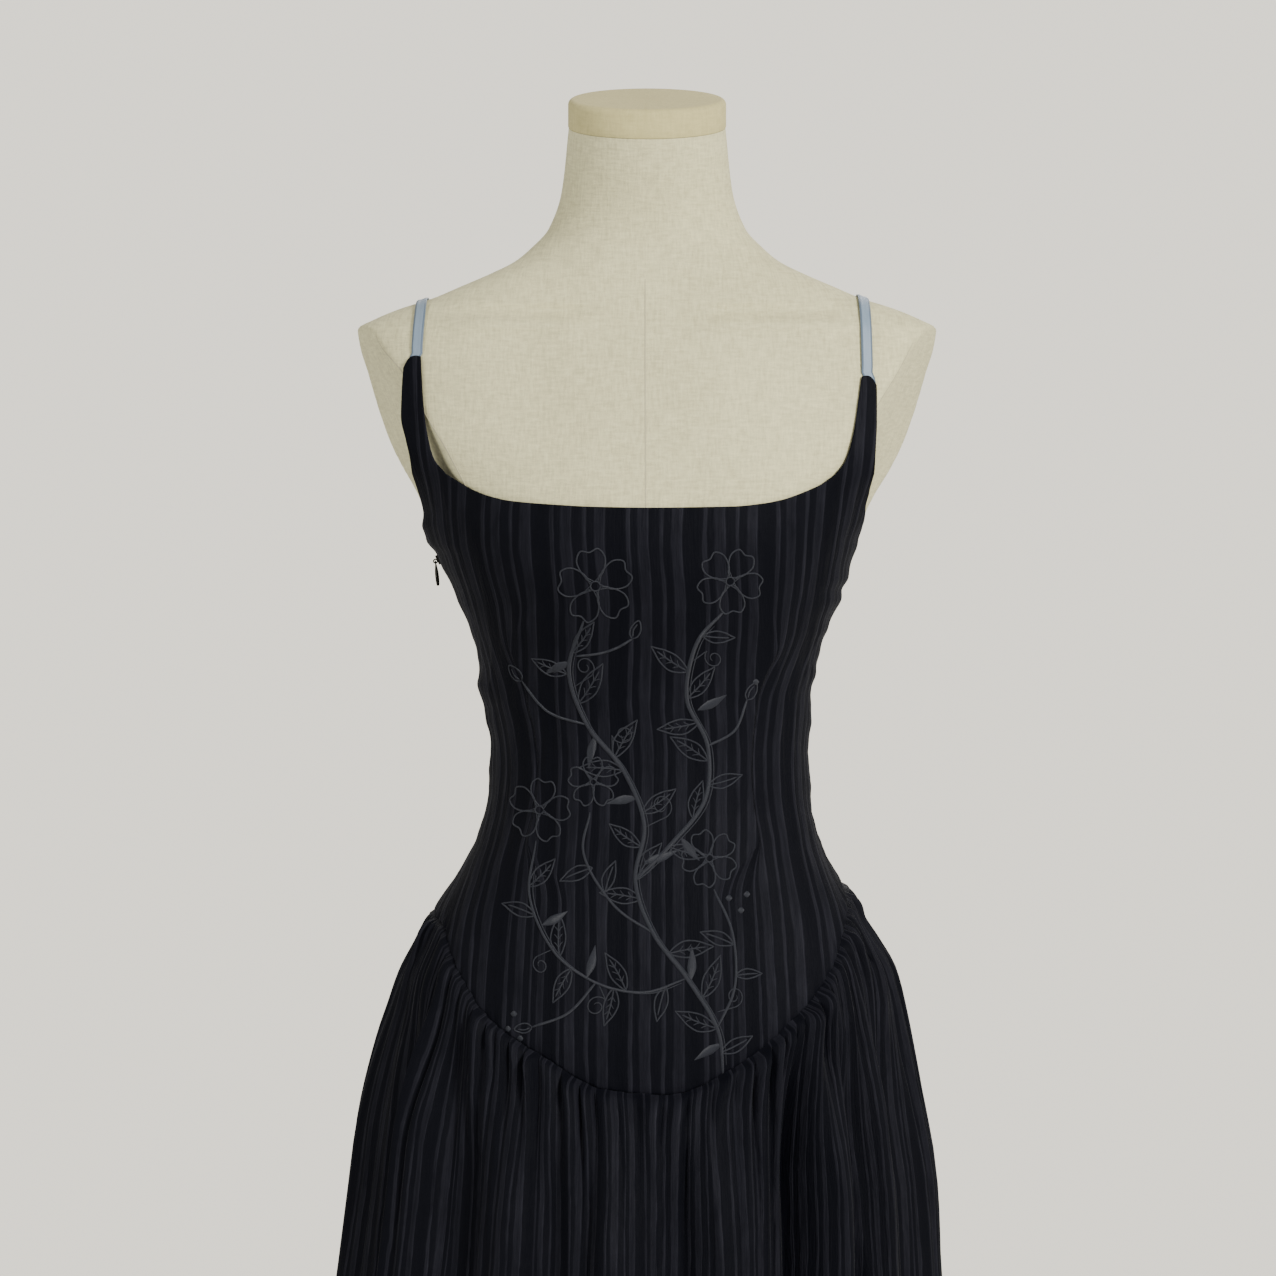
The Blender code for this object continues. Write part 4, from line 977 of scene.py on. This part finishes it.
def joined(name, parts, material, sharp=70):
    """One object from several sets of points, faces and flat places, all facing outwards."""
    points, faces, uvs = zip(*parts)
    starts = np.cumsum([0] + [len(part) for part in points[:-1]])
    points = np.concatenate(points)
    faces = np.concatenate([part + start for part, start in zip(faces, starts)])
    corner = points[faces]
    normal = np.cross(corner[:, 1] - corner[:, 0], corner[:, 3] - corner[:, 0])
    inward = (normal[:, :2] * corner.mean(1)[:, :2]).sum(1) < 0
    faces[inward] = faces[inward][:, ::-1]
    return make_mesh(name, points, faces, np.concatenate(uvs), material, sharp)


# Embroidery: a plain climbing vine with simple leaves, open flowers, buds and berries, in mm on the bodice front


def to_metres(points):
    return np.asarray(points, float) / 1000.0


def turned_shape(shape, at, turn, size):
    """Shape turned by an angle in degrees, sized and moved to a place."""
    cosine = math.cos(math.radians(turn))
    sine = math.sin(math.radians(turn))
    return np.asarray(shape, float) * size @ np.array([[cosine, sine], [-sine, cosine]]) + np.asarray(at, float)


LEAF_SIDE = [(0, 0), (0.16, 0.11), (0.40, 0.19), (0.66, 0.15), (0.88, 0.05), (1.0, 0.0)]
PETAL = [
    (0.12, 0), (0.34, 0.26), (0.7, 0.38), (0.96, 0.24), (0.9, 0), (0.96, -0.24), (0.7, -0.38), (0.34, -0.26),
    (0.12, 0),
]


def leaf_lines(bend, *spot):
    """Outline and midrib of a pointed leaf. A spot is a place, a turn in degrees and a size."""
    lines = []
    for side in (LEAF_SIDE, np.array(LEAF_SIDE) * (1, -0.9), [(0.0, 0.0), (0.4, 0.0), (0.82, 0.0)]):
        bent = through(side)
        bent[:, 1] += bend * bent[:, 0] ** 2
        lines.append(turned_shape(bent, *spot))
    return lines


def vein_lines(bend, *spot):
    """Short side veins of a leaf."""
    lines = []
    for start in (0.22, 0.40, 0.58):
        for side in (1, -1):
            vein = np.array([(start, 0.0), (start + 0.08, side * 0.05), (start + 0.13, side * 0.105)])
            vein[:, 1] += bend * vein[:, 0] ** 2
            lines.append(turned_shape(through(vein, 6), *spot))
    return lines


def flower_lines(at, turn, size):
    """Outline of an open flower with five petals, its ring and its stamens."""
    stamen = [(0.14, 0.0), (0.30, 0.03), (0.44, -0.02)]
    lines = []
    for petal in range(0, 360, 72):
        lines.append(turned_shape(through(PETAL, 8), at, turn + petal, size))
        lines.append(turned_shape(through(stamen, 6), at, turn + petal + 36, size))
    ring = [(0.13 * math.cos(t), 0.13 * math.sin(t)) for t in np.linspace(0, 2 * math.pi, 17)]
    return lines + [turned_shape(ring, at, 0, size)]


def bud_lines(*spot):
    """Outline of a closed bud on its cup."""
    bud = [(0, 0), (0.22, 0.22), (0.62, 0.24), (1.0, 0.0), (0.62, -0.24), (0.22, -0.22), (0, 0)]
    return [turned_shape(through(line, 8), *spot) for line in (bud, [(0.12, 0.02), (0.45, 0.10), (0.80, 0.02)])]


def curl_line(hand, *spot):
    """Tendril that winds up at its end, to the left (1) or the right (-1)."""
    t = np.linspace(0, 1, 60)
    radius = 0.34 * (1 - 0.72 * t)
    wind = hand * (math.pi * 2.6 * t)
    coil = np.stack([0.62 + radius * np.sin(wind) * 0.9, hand * 0.34 - hand * radius * np.cos(wind)], 1)
    stem = through([(0, -0.06 * hand), (0.30, -0.03 * hand), (0.62, 0.0)], 10)
    return turned_shape(np.concatenate([stem, coil[1:]]), *spot)


STEMS = [
    [
        (50, 842), (46, 872), (26, 905), (4, 934), (-8, 968), (-2, 1004), (-16, 1040), (-40, 1070), (-52, 1106),
        (-42, 1140),
    ],
    [(-8, 968), (16, 992), (38, 1020), (40, 1056), (26, 1088), (32, 1124), (50, 1146)],
    [(26, 905), (-2, 896), (-34, 902), (-62, 922), (-78, 956), (-74, 992)],
    [(46, 872), (58, 900), (56, 934), (44, 962)],
    [(-34, 902), (-52, 882), (-76, 872)],
    [(4, 934), (-22, 952), (-42, 984), (-38, 1012)],
    [(40, 1056), (58, 1066), (66, 1086)],
    [(-40, 1070), (-66, 1078), (-84, 1098)],
    [(-47, 1116), (-32, 1118), (-20, 1122), (-10, 1128)],
]
LEAVES = [
    (48, 856, 20, 24, 0.1), (46, 872, 164, 30, -0.12), (36, 892, 58, 30, 0.14), (14, 921, 14, 30, -0.1),
    (12, 900, 250, 24, 0.1), (-14, 897, 112, 28, 0.14), (-22, 899, 262, 26, -0.12), (-50, 911, 236, 26, 0.1),
    (-58, 918, 96, 28, -0.12), (-74, 944, 158, 24, 0.12), (-79, 962, 40, 26, 0.12), (-4, 956, 166, 28, 0.1),
    (-8, 968, 62, 30, -0.14), (-4, 990, 152, 26, -0.12), (-4, 1012, 28, 28, 0.12), (-16, 1040, 170, 30, 0.14),
    (-22, 1048, 66, 30, -0.12), (-46, 1084, 52, 32, 0.12), (-53, 1104, 164, 26, -0.1),
    (-50, 1118, 48, 26, 0.12), (14, 990, 338, 26, 0.12), (30, 1008, 82, 26, -0.12), (40, 1030, 8, 24, 0.12),
    (40, 1046, 140, 30, 0.12), (34, 1072, 196, 28, -0.12), (26, 1088, 42, 28, 0.12), (27, 1106, 152, 30, -0.12),
    (36, 1130, 350, 22, 0.1), (57, 926, 152, 24, 0.12), (58, 906, 8, 18, -0.1), (-36, 976, 196, 24, 0.12),
    (-28, 960, 78, 22, -0.12),
]
SATIN_LEAVES = [
    (50, 862, 200, 22), (28, 902, 78, 24), (-40, 905, 66, 22), (-70, 938, 20, 20), (-2, 980, 10, 24),
    (-6, 1022, 182, 22), (-34, 1064, 248, 24), (22, 996, 300, 20), (33, 1080, 18, 22), (-50, 1112, 196, 20),
]
FLOWERS = [
    (-34, 1163, 100, 25), (54, 1166, 60, 22), (-72, 1012, 80, 21), (41, 982, 40, 19), (-36, 1032, 20, 17),
]
BUDS = [(-84, 1098, 128, 13), (66, 1086, 62, 13), (-76, 872, 190, 12), (-10, 1128, 70, 13)]
CURLS = [
    (46, 884, 8, 20, 1), (-34, 902, 300, 22, -1), (-2, 1004, 20, 24, 1), (-50, 1096, 28, 22, 1),
    (30, 1112, 40, 20, -1), (-62, 922, 200, 18, 1), (-22, 1050, 96, 22, -1),
]
BERRIES = [(62, 948), (54, 956), (66, 958), (-88, 880), (-84, 864), (-92, 870), (72, 1098)]


def build_embroidery(material):
    parts = []

    def sew(lines, width, height):
        """Lines in mm, as raised thread with a width and height in mm."""
        for line in lines:
            parts.append(raised_line(front_place, to_metres(line), width / 1000, height / 1000))

    def pad(spine, widths, height):
        parts.append(satin_shape(front_place, to_metres(spine), to_metres(widths), height / 1000))

    for number, stem in enumerate(STEMS):
        sew([through(stem)], *((3.0, 0.85) if number < 2 else (1.9, 0.65)))
        if number < 3:
            sew([(through(stem) + (2.6, -0.8))[3:-6]], 0.9, 0.40)
    for x, z, turn, size, bend in LEAVES:
        sew(leaf_lines(bend, (x, z), turn, size), 1.15, 0.48)
        if size > 25:
            sew(vein_lines(bend, (x, z), turn, size), 0.70, 0.30)
    for x, z, turn, size in FLOWERS:
        sew(flower_lines((x, z), turn, size), 1.15, 0.50)
    for x, z, turn, size in BUDS:
        sew(bud_lines((x, z), turn, size), 1.10, 0.48)
    for x, z, turn, size, hand in CURLS:
        sew([curl_line(hand, (x, z), turn, size)], 0.90, 0.40)
    for x, z, turn, size in SATIN_LEAVES:
        spine = turned_shape(through([(0, 0), (0.5, 0.05), (1.0, 0.16)]), (x, z), turn, size)
        pad(spine, [0.4, 4.0, 6.2, 5.2, 2.6, 0.3], 0.85)
    for x, z in BERRIES:
        pad([(x - 2.2, z), (x, z), (x + 2.2, z)], [0.6, 3.4, 4.4, 3.4, 0.6], 1.0)
    return joined("embroidery_vine", parts, material)


# Seams of the form, straps and zip

# Seams of the form in front: centre, right and left arm plate, as x and z in mm
FORM_SEAMS = [
    [(-1.2, 1200), (-1.3, 1250), (-1.4, 1300), (-1.4, 1340), (-1.4, 1366)],
    [
        (-183, 1330), (-180.5, 1319.9), (-165.6, 1306.2), (-146.2, 1273.2), (-133.4, 1253.2),
        (-119.4, 1226.9), (-113, 1212),
    ],
    [(179, 1324), (170, 1303), (156, 1283), (144, 1260), (131, 1238), (120, 1220)],
]
ZIP_TOP = 1.1868
ZIP_FOOT = 0.975


def build_form_seams(material):
    parts = [raised_line(form_place, through(to_metres(line)), 0.00100, 0.00016, 0.003) for line in FORM_SEAMS]
    return joined("form_seam_lines", parts, material)


def section_share(distance, depth, power):
    """Share of an oval section's other half width, at a distance along a half width."""
    return (1 - (distance / depth) ** power) ** (1 / power)


def form_depth(x, z, back):
    body = body_at(z)
    across = np.minimum(np.abs(x), body[..., 0])
    return body[..., 2 if back else 1] * section_share(across, body[..., 0], body[..., 3])


def shoulder_z(x, y):
    """Height of the shoulder over points, found by halving."""
    x, y = np.broadcast_arrays(np.asarray(x, float), np.asarray(y, float))
    low = np.full(x.shape, 1.25)
    high = np.full(x.shape, BODY_TOP)
    for _ in range(40):
        middle = (low + high) / 2
        depth = np.where(y > 0, form_depth(x, middle, True), form_depth(x, middle, False))
        inside = (np.abs(x) < body_at(middle)[..., 0]) & (np.abs(y) < depth)
        low = np.where(inside, middle, low)
        high = np.where(inside, high, middle)
    return low


def form_value(points):
    body = body_at(points[..., 2])
    depth = np.where(points[..., 1] > 0, body[..., 2], body[..., 1])
    power = body[..., 3]
    return (np.abs(points[..., 0]) / body[..., 0]) ** power + (np.abs(points[..., 1]) / depth) ** power


def form_normal(points):
    step = 0.0004
    moves = np.eye(3) * step
    slope = np.stack([form_value(points + move) - form_value(points - move) for move in moves], -1)
    return slope / np.linalg.norm(slope, axis=-1, keepdims=True)


def back_edge_z(x):
    """Height of the back panel's top edge at a distance from the middle."""
    turn = np.linspace(90, 180, 181)
    top = back_top_at(turn)[..., 0]
    edge = bodice_point(np.radians(turn), top, 0.0)
    return np.interp(x, edge[::-1, 0], top[::-1])


def strap_stations(side):
    """Points of the form under the strap, across its width, from behind the front point to inside the back panel."""
    tip = POINT_ROWS_OF[side][-1][0]
    foot_x, top_x = STRAP_PLACES[side]
    offsets = np.linspace(-STRAP_WIDTH / 2, STRAP_WIDTH / 2, 9)
    reach = float(shoulder_z(top_x, -SHOULDER_REACH))
    stations = []
    for share in np.linspace(0, 1, 16, endpoint=False):
        z = tip - 0.008 + (reach - tip + 0.008) * share
        x = foot_x + (top_x - foot_x) * share + offsets + 0.0022 * rise(z, tip + 0.001, -0.004)
        stations.append(np.stack([x, -form_depth(x, z, False), np.full_like(x, z)], -1))
    x = top_x + offsets
    for y in np.linspace(-SHOULDER_REACH, SHOULDER_REACH, 37):
        stations.append(np.stack([x, np.full_like(x, y), shoulder_z(x, y)], -1))
    reach = float(shoulder_z(top_x, SHOULDER_REACH))
    foot_z = back_edge_z(STRAP_FOOT + offsets) - 0.010
    for share in (np.arange(1, 61) / 60) ** 1.3:
        across = offsets + top_x + (STRAP_FOOT - top_x) * share
        z = reach + (foot_z - reach) * share
        stations.append(np.stack([across, form_depth(across, z, True), z], -1))
    return np.array(stations) * (side, 1, 1)


def build_strap(side, name, material):
    """Flat ribbon over the shoulder. Both ends go in under the cloth."""
    base = strap_stations(side)
    normal = form_normal(base)
    middle = base[:, 4]
    height = middle[:, 2]
    over_tip = rise(height, POINT_ROWS_OF[side][-1][0], 0.006)
    over_edge = rise(height, back_edge_z(np.array([STRAP_FOOT]))[0], 0.008)
    free = np.where(middle[:, 1] < 0, over_tip, over_edge)[:, None]
    low = 0.0003 + 0.0007 * free
    thickness = 0.0008 + 0.0003 * free
    crown = np.array([0.45, 0.86, 0.94, 0.80, 0.76, 0.80, 0.94, 0.86, 0.45])
    belly = np.where(crown > 0.5, 0.0, 0.40)
    bottom, top = (base + normal * (low + thickness * share)[..., None] for share in (belly, crown))
    rings = np.concatenate([bottom, top[:, ::-1]], axis=1)
    across = np.linspace(-1, 1, 9)
    wide = np.concatenate([across, across[::-1]]) * STRAP_WIDTH / 2
    uvs = np.stack(np.broadcast_arrays(wide[None, :], travelled(middle)[:, None]), -1).reshape(-1, 2)
    strap = lofted(name, rings, uvs, material, sharp=75)
    turn_outwards(strap)
    return strap


def turn_outwards(thing):
    """Makes a closed mesh face out."""
    mesh = thing.data
    mesh.calc_loop_triangles()
    points = np.empty(len(mesh.vertices) * 3)
    mesh.vertices.foreach_get("co", points)
    points = points.reshape(-1, 3)
    faces = np.empty(len(mesh.loop_triangles) * 3, int)
    mesh.loop_triangles.foreach_get("vertices", faces)
    corner = points[faces.reshape(-1, 3)]
    if np.einsum("ij,ij->i", corner[:, 0], np.cross(corner[:, 1], corner[:, 2])).sum() < 0:
        mesh.flip_normals()


def right_side_place(flat):
    """Points over the right side seam, at given y and z."""
    y, z = np.moveaxis(np.asarray(flat, float), -1, 0)
    body = body_at(z)
    out = body[..., 4]
    depth = np.where(y > 0, body[..., 2], body[..., 1]) + out
    x = (body[..., 0] + out) * section_share(np.abs(y), depth, body[..., 3]) - 0.0009 * bell(y / 0.0020)
    relief = side_relief(np.full_like(z, -1.45), z) * np.where(y > 0, 0.8, 1.0)
    return np.stack([sway_at(z)[..., 0] - (x + relief), y, z], -1)


def build_zip(cloth, metal):
    """Lips of the hidden zip in the right side seam, and its open teeth over the slider."""
    lips = []
    for side in (-1, 1):
        line = [(side * 0.00125, z) for z in np.linspace(ZIP_TOP, ZIP_FOOT, 60)]
        lips.append(raised_line(right_side_place, line, 0.0021, 0.00055, 0.002))
    teeth = []
    for number in range(9):
        z = ZIP_TOP - 0.0002 - 0.0006 * number
        y = 0.00045 if number % 2 else -0.00045
        line = [(y - 0.0005, z), (y, z), (y + 0.0005, z)]
        teeth.append(raised_line(right_side_place, line, 0.00034, 0.00085, 0.0003))
    return joined("zip_lips", lips, cloth), joined("zip_teeth", teeth, metal)


# Materials


def connect(tree, node, **inputs):
    """Sets a node's inputs, named as in Blender with _ for a space, or by number as i0, i1."""
    for key, value in inputs.items():
        by_number = key[0] == "i" and key[1:].isdigit()
        socket = node.inputs[int(key[1:]) if by_number else key.replace("_", " ")]
        if isinstance(value, bpy.types.NodeSocket):
            tree.links.new(value, socket)
        elif socket.type == "RGBA":
            socket.default_value = (*value, 1.0)
        else:
            socket.default_value = value
    return node


def add(tree, kind, settings=(), **inputs):
    """New shader node with its settings and inputs."""
    node = tree.nodes.new("ShaderNode" + kind)
    for key, value in dict(settings).items():
        setattr(node, key, value)
    return connect(tree, node, **inputs)


# Stripes across one repeat, as places and values: the light bands of the weave, each ramped up to a painted
# highlight at its right edge
STRIPE_AND_HIGHLIGHT_STOPS = [
    (0, 0), (0.058, 0.04), (0.076, 0.62), (0.1, 0.58), (0.116, 1), (0.134, 0.05), (0.206, 0.08), (0.232, 0.62),
    (0.3, 0.46), (0.344, 0.62), (0.36, 1), (0.378, 0.08), (0.494, 0.1), (0.512, 0.6), (0.548, 0.92),
    (0.564, 0.05), (0.65, 0.07), (0.672, 0.58), (0.74, 0.44), (0.782, 0.62), (0.798, 0.96), (0.816, 0.05),
    (0.95, 0),
]


class Look:
    """New material, built up from nodes over the piece's flat places, or over its own space."""

    def __init__(self, name, flat=True, **values):
        self.material = bpy.data.materials.new(name)
        self.material.use_nodes = True
        self.tree = self.material.node_tree
        self.set(**values)
        if flat:
            self.place = add(self.tree, "UVMap", {"uv_map": "cloth"}).outputs[0]
            self.across, self.up = add(self.tree, "SeparateXYZ", Vector=self.place).outputs[:2]
        else:
            self.place = add(self.tree, "TexCoord").outputs["Object"]

    def set(self, **inputs):
        connect(self.tree, self.tree.nodes["Principled BSDF"], **inputs)
        return self.material

    def maths(self, operation, *values):
        inputs = {f"i{number}": value for number, value in enumerate(values)}
        return add(self.tree, "Math", {"operation": operation}, **inputs).outputs[0]

    def average(self, first, second):
        return self.maths("MULTIPLY", self.maths("ADD", first, second), 0.5)

    def mix(self, share, first, second):
        return add(self.tree, "Mix", {"data_type": "RGBA"}, i0=share, i6=first, i7=second).outputs[2]

    def noise(self, scale, detail=3.0, roughness=0.5):
        """Noise of one scale, or of its own scale across and up the cloth."""
        place = self.place
        if isinstance(scale, tuple):
            place = add(self.tree, "Mapping", Vector=place, Scale=(*scale, 1.0)).outputs[0]
            scale = 1.0
        inputs = {"Vector": place, "Scale": scale, "Detail": detail, "Roughness": roughness}
        return add(self.tree, "TexNoise", **inputs).outputs[0]

    def ramp(self, factor, stops):
        """Grey ramp from places and values."""
        node = add(self.tree, "ValToRGB", i0=factor)
        elements = node.color_ramp.elements
        while len(elements) < len(stops):
            elements.new(0.5)
        for element, (place, value) in zip(elements, stops):
            element.position = place
            element.color = (value, value, value, 1)
        return node.outputs[0]

    def threads(self, along, spacing):
        """Rounded ribs from a distance across them."""
        wave = self.maths("SINE", self.maths("MULTIPLY", along, 2 * math.pi / spacing))
        return self.maths("MULTIPLY_ADD", wave, 0.5, 0.5)

    def bump(self, height, strength, distance=1.0):
        bump = add(self.tree, "Bump", Strength=strength, Distance=distance, Height=height)
        self.set(Normal=bump.outputs[0])


def cloth_material(name, warp, repeat):
    """Crinkled striped suiting, near black, its light stripes painted brighter at their right edges as a painted
    highlight. warp is the distance by which the stripes wander.
    """
    sheen = {"Sheen_Weight": 0.045, "Sheen_Roughness": 0.34, "Sheen_Tint": (0.84, 0.84, 0.86)}
    look = Look(name, Specular_IOR_Level=0.055, **sheen)
    across = look.across
    for scale, reach in (((55.0, 20.0), warp), ((190.0, 44.0), warp * 0.45), ((620.0, 150.0), 0.0004)):
        wave = look.maths("SUBTRACT", look.noise(scale, 2.0), 0.5)
        across = look.maths("MULTIPLY_ADD", wave, reach, across)
    turns = look.maths("DIVIDE", look.maths("SUBTRACT", across, STRIPE_START), repeat)
    # Stripe bands of the weave, with a painted highlight at the right edge of each light band
    stripe_with_highlight = look.ramp(look.maths("FRACT", look.maths("ADD", turns, 0.10)), STRIPE_AND_HIGHLIGHT_STOPS)
    wear = look.average(look.noise((90.0, 26.0), 3.0, 0.6), look.noise((1300.0, 42.0), 4.0, 0.65))
    stripe = look.maths("MULTIPLY", stripe_with_highlight, look.ramp(wear, [(0.36, 0.25), (0.62, 1.0)]))
    dark = look.mix(look.noise((300.0, 80.0), 4.0, 0.6), (0.0018, 0.0021, 0.0042), (0.0037, 0.0040, 0.0068))
    ribs = look.maths("ADD", look.threads(look.across, 0.00062), look.threads(look.up, 0.00054))
    height = look.maths("MULTIPLY", ribs, 0.000030)
    for scale, reach in (((430.0, 34.0), 0.00080), ((900.0, 120.0), 0.00050), ((60.0, 190.0), 0.00024)):
        height = look.maths("MULTIPLY_ADD", look.noise(scale, 3.0, 0.6), reach, height)
    look.bump(look.maths("MULTIPLY_ADD", stripe_with_highlight, 0.00048, height), 0.80)
    look.set(Roughness=look.maths("MULTIPLY_ADD", stripe, -0.10, 0.62))
    return look.set(Base_Color=look.mix(stripe, dark, (0.0205, 0.0205, 0.0282)))


def thread_material():
    """Satin-stitched thread: fine slanting stitches across the line."""
    look = Look("thread", Specular_IOR_Level=0.30, Sheen_Weight=0.05, Sheen_Roughness=0.40, Roughness=0.46)
    stitch = look.threads(look.maths("MULTIPLY_ADD", look.up, 0.45, look.across), 0.00042)
    look.bump(stitch, 0.8, 0.00012)
    tone = look.average(stitch, look.noise((900.0, 900.0)))
    return look.set(Base_Color=look.mix(tone, (0.0078, 0.0090, 0.0130), (0.0280, 0.0305, 0.0415)))


def linen_material(name, pale, deep, spacing=0.00085, strength=0.7):
    """Plain-woven linen with slubs."""
    look = Look(name, Specular_IOR_Level=0.25, Sheen_Weight=0.08, Sheen_Roughness=0.6, Roughness=0.86)
    wander = look.noise((350.0, 60.0), 2.0)
    across = look.threads(look.maths("MULTIPLY_ADD", wander, 0.0006, look.across), spacing)
    up = look.threads(look.maths("MULTIPLY_ADD", wander, 0.0004, look.up), spacing * 1.1)
    slub = look.average(look.noise((520.0, 90.0), 4.0, 0.70), look.noise((100.0, 460.0), 4.0, 0.70))
    broad = look.maths("MULTIPLY", look.noise((14.0, 9.0)), 0.20)
    tone = look.ramp(look.maths("MULTIPLY_ADD", slub, 0.80, broad), [(0.40, 0.0), (0.60, 1.0)])
    slubs = look.maths("MULTIPLY", slub, 0.00100)
    look.bump(look.maths("MULTIPLY_ADD", look.maths("MULTIPLY", across, up), 0.00006, slubs), strength)
    return look.set(Base_Color=look.mix(tone, deep, pale))


def ribbon_material():
    """Pale blue satin ribbon, painted darker along both edges as painted shade where it rounds over."""
    look = Look("ribbon", Specular_IOR_Level=0.50, Sheen_Weight=0.10, Roughness=0.42)
    # Strip along both edges painted darker: painted shade of the ribbon's rounded edges
    edge = look.maths("GREATER_THAN", look.maths("ABSOLUTE", look.across), STRAP_WIDTH / 2 - 0.0013)
    satin = look.mix(look.noise((700.0, 90.0)), (0.205, 0.285, 0.375), (0.285, 0.370, 0.465))
    look.bump(look.threads(look.up, 0.00036), 0.45, 0.00008)
    return look.set(Base_Color=look.mix(edge, satin, (0.120, 0.170, 0.235)))


def mottled_material(name, scale, detail, first, second, grain=None, **values):
    """Material mottled between two colours.

    grain gives the fine noise of its surface: scale, detail, roughness at most and at least, bump and its distance.
    """
    look = Look(name, flat=False, **values)
    if grain:
        grain_scale, grain_detail, span, least, strength, distance = grain
        peel = look.noise(grain_scale, grain_detail)
        look.bump(peel, strength, distance)
        look.set(Roughness=look.maths("MULTIPLY_ADD", peel, span, least))
    return look.set(Base_Color=look.mix(look.noise(scale, detail), first, second))


# Stage, light and camera

FLOOR_LEVEL = -0.0004
CAMERA_X = -0.006165

# Lights: name, place, size, power and colour
LIGHTS = [
    ("key", (1.95, -2.2, 2.4), 1.1, 118.0, (1.0, 0.985, 0.95)),
    ("fill", (-2.3, -1.5, 1.5), 1.6, 24.0, (0.97, 0.985, 1.0)),
    ("back", (0.4, 2.4, 2.2), 1.8, 22.0, (1.0, 0.99, 0.97)),
]


def build_floor():
    angle = full_turn(96)
    points = np.stack([2.6 * np.sin(angle), -2.6 * np.cos(angle), np.full_like(angle, FLOOR_LEVEL)], -1)
    material = mottled_material(
        "pale_floor", 2.0, 3.0, (0.62, 0.61, 0.585), (0.67, 0.66, 0.635), Specular_IOR_Level=0.2, Roughness=0.8
    )
    floor = make_mesh("floor", points, [tuple(range(96))], points[:, :2], material)


def aimed(name, data, place, target):
    """Light or camera at a place, looking at a target."""
    thing = bpy.data.objects.new(name, data)
    thing.location = place
    thing.rotation_euler = (Vector(target) - Vector(place)).to_track_quat("-Z", "Y").to_euler()
    bpy.context.scene.collection.objects.link(thing)
    return thing


def build_world():
    """Pale wall all round, with a softer light of its own on the dress."""
    world = bpy.data.worlds.new("pale_room")
    world.use_nodes = True
    tree = world.node_tree
    wall = connect(tree, tree.nodes["Background"], Color=(1.52, 1.44, 1.26), Strength=1.0)
    glow = add(tree, "Background", Color=(1.0, 0.975, 0.93), Strength=0.50)
    seen = add(tree, "LightPath").outputs["Is Camera Ray"]
    share = add(tree, "MixShader", i0=seen, i1=glow.outputs[0], i2=wall.outputs[0])
    connect(tree, tree.nodes["World Output"], Surface=share.outputs[0])
    bpy.context.scene.world = world


def build_lights():
    for name, place, size, power, colour in LIGHTS:
        data = bpy.data.lights.new(name, "AREA")
        data.shape = "DISK"
        data.size = size
        data.energy = power
        data.color = colour
        aimed(name, data, place, (0.0, 0.0, 1.0))


def build_camera():
    data = bpy.data.cameras.new("camera")
    data.lens = 98.99
    data.sensor_width = 36.0
    bpy.context.scene.camera = aimed("camera", data, (CAMERA_X, -2.4, 1.25), (CAMERA_X, 0.0, 1.1233))


def fix(piece, slot, *nodes):
    """Makes a piece ride with the dress, in place of some nodes, which are hidden. slot is not used."""
    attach(piece, BODY_NAME)
    if nodes:
        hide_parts(*nodes)
    return piece


def main():
    cloth = cloth_material("striped_cloth", 0.0030, STRIPE_REPEAT)
    skirt_cloth = cloth_material("striped_skirt_cloth", 0.0040, STRIPE_REPEAT * 0.72)
    linen = linen_material("form_linen_cloth", (0.845, 0.795, 0.470), (0.600, 0.560, 0.328))
    cap_cloth = linen_material("form_cap_cloth", (0.685, 0.605, 0.280), (0.575, 0.505, 0.232), 0.0006, 0.4)
    ribbon = ribbon_material()
    metal_tones = ((0.0120, 0.0115, 0.0100), (0.0340, 0.0320, 0.0270))
    rubbed = (900.0, 4.0, 0.25, 0.26, 0.15, 0.0001)
    metal_values = {"Metallic": 1.0, "Specular_Tint": (0.26, 0.25, 0.23)}
    metal = mottled_material("dark_metal", 900.0, 4.0, *metal_tones, rubbed, **metal_values)
    paint_tones = ((0.560, 0.520, 0.410), (0.630, 0.590, 0.480))
    orange_peel = (1400.0, 2.0, 0.14, 0.40, 0.25, 0.0002)
    paint = mottled_material("cream_paint", 9.0, 3.0, *paint_tones, orange_peel, Specular_IOR_Level=0.4)
    seam_tones = ((0.46, 0.42, 0.27), (0.62, 0.58, 0.38))
    seam = mottled_material("form_seam", 500.0, 2.0, *seam_tones, Specular_IOR_Level=0.2, Roughness=0.9)
    thread = thread_material()

    front = fix(build_bodice_front(cloth), "dress_cloth", "bodice_front")
    back = fix(build_bodice_back(cloth), "dress_cloth", "bodice_back")
    skirt_front = build_skirt(
        "skirt_front_cloth", -90, FRONT_GATHERS, FRONT_FOLDS, FRONT_CREASES, -1, 31, skirt_cloth
    )
    fix(skirt_front, "dress_cloth", "skirt_front")
    skirt_back = build_skirt("skirt_back_cloth", 90, BACK_GATHERS, BACK_FOLDS, BACK_CREASES, 1, 47, skirt_cloth)
    fix(skirt_back, "dress_cloth", "skirt_back")
    vine = fix(build_embroidery(thread), "dress_cloth")
    lips, teeth = build_zip(cloth, metal)
    fix(lips, "dress_cloth")
    fix(teeth, "zip_metal")
    fix(build_strap(-1, "strap_right_ribbon", ribbon), "strap_ribbon", "strap_right")
    fix(build_strap(1, "strap_left_ribbon", ribbon), "strap_ribbon", "strap_left")
    fix(build_torso(linen), "form_linen", "form_torso")
    fix(build_form_seams(seam), "form_linen")
    fix(build_cap(cap_cloth), "form_cap", "form_neck_cap")
    base, pole = build_stand(paint)
    fix(base, "stand_paint", "form_base")
    fix(pole, "stand_paint", "form_pole")
    for node in ("zip_slider", "zip_pull"):
        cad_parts[node].data.materials.clear()
        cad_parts[node].data.materials.append(metal)

    build_floor()
    build_world()
    build_lights()
    build_camera()


main()
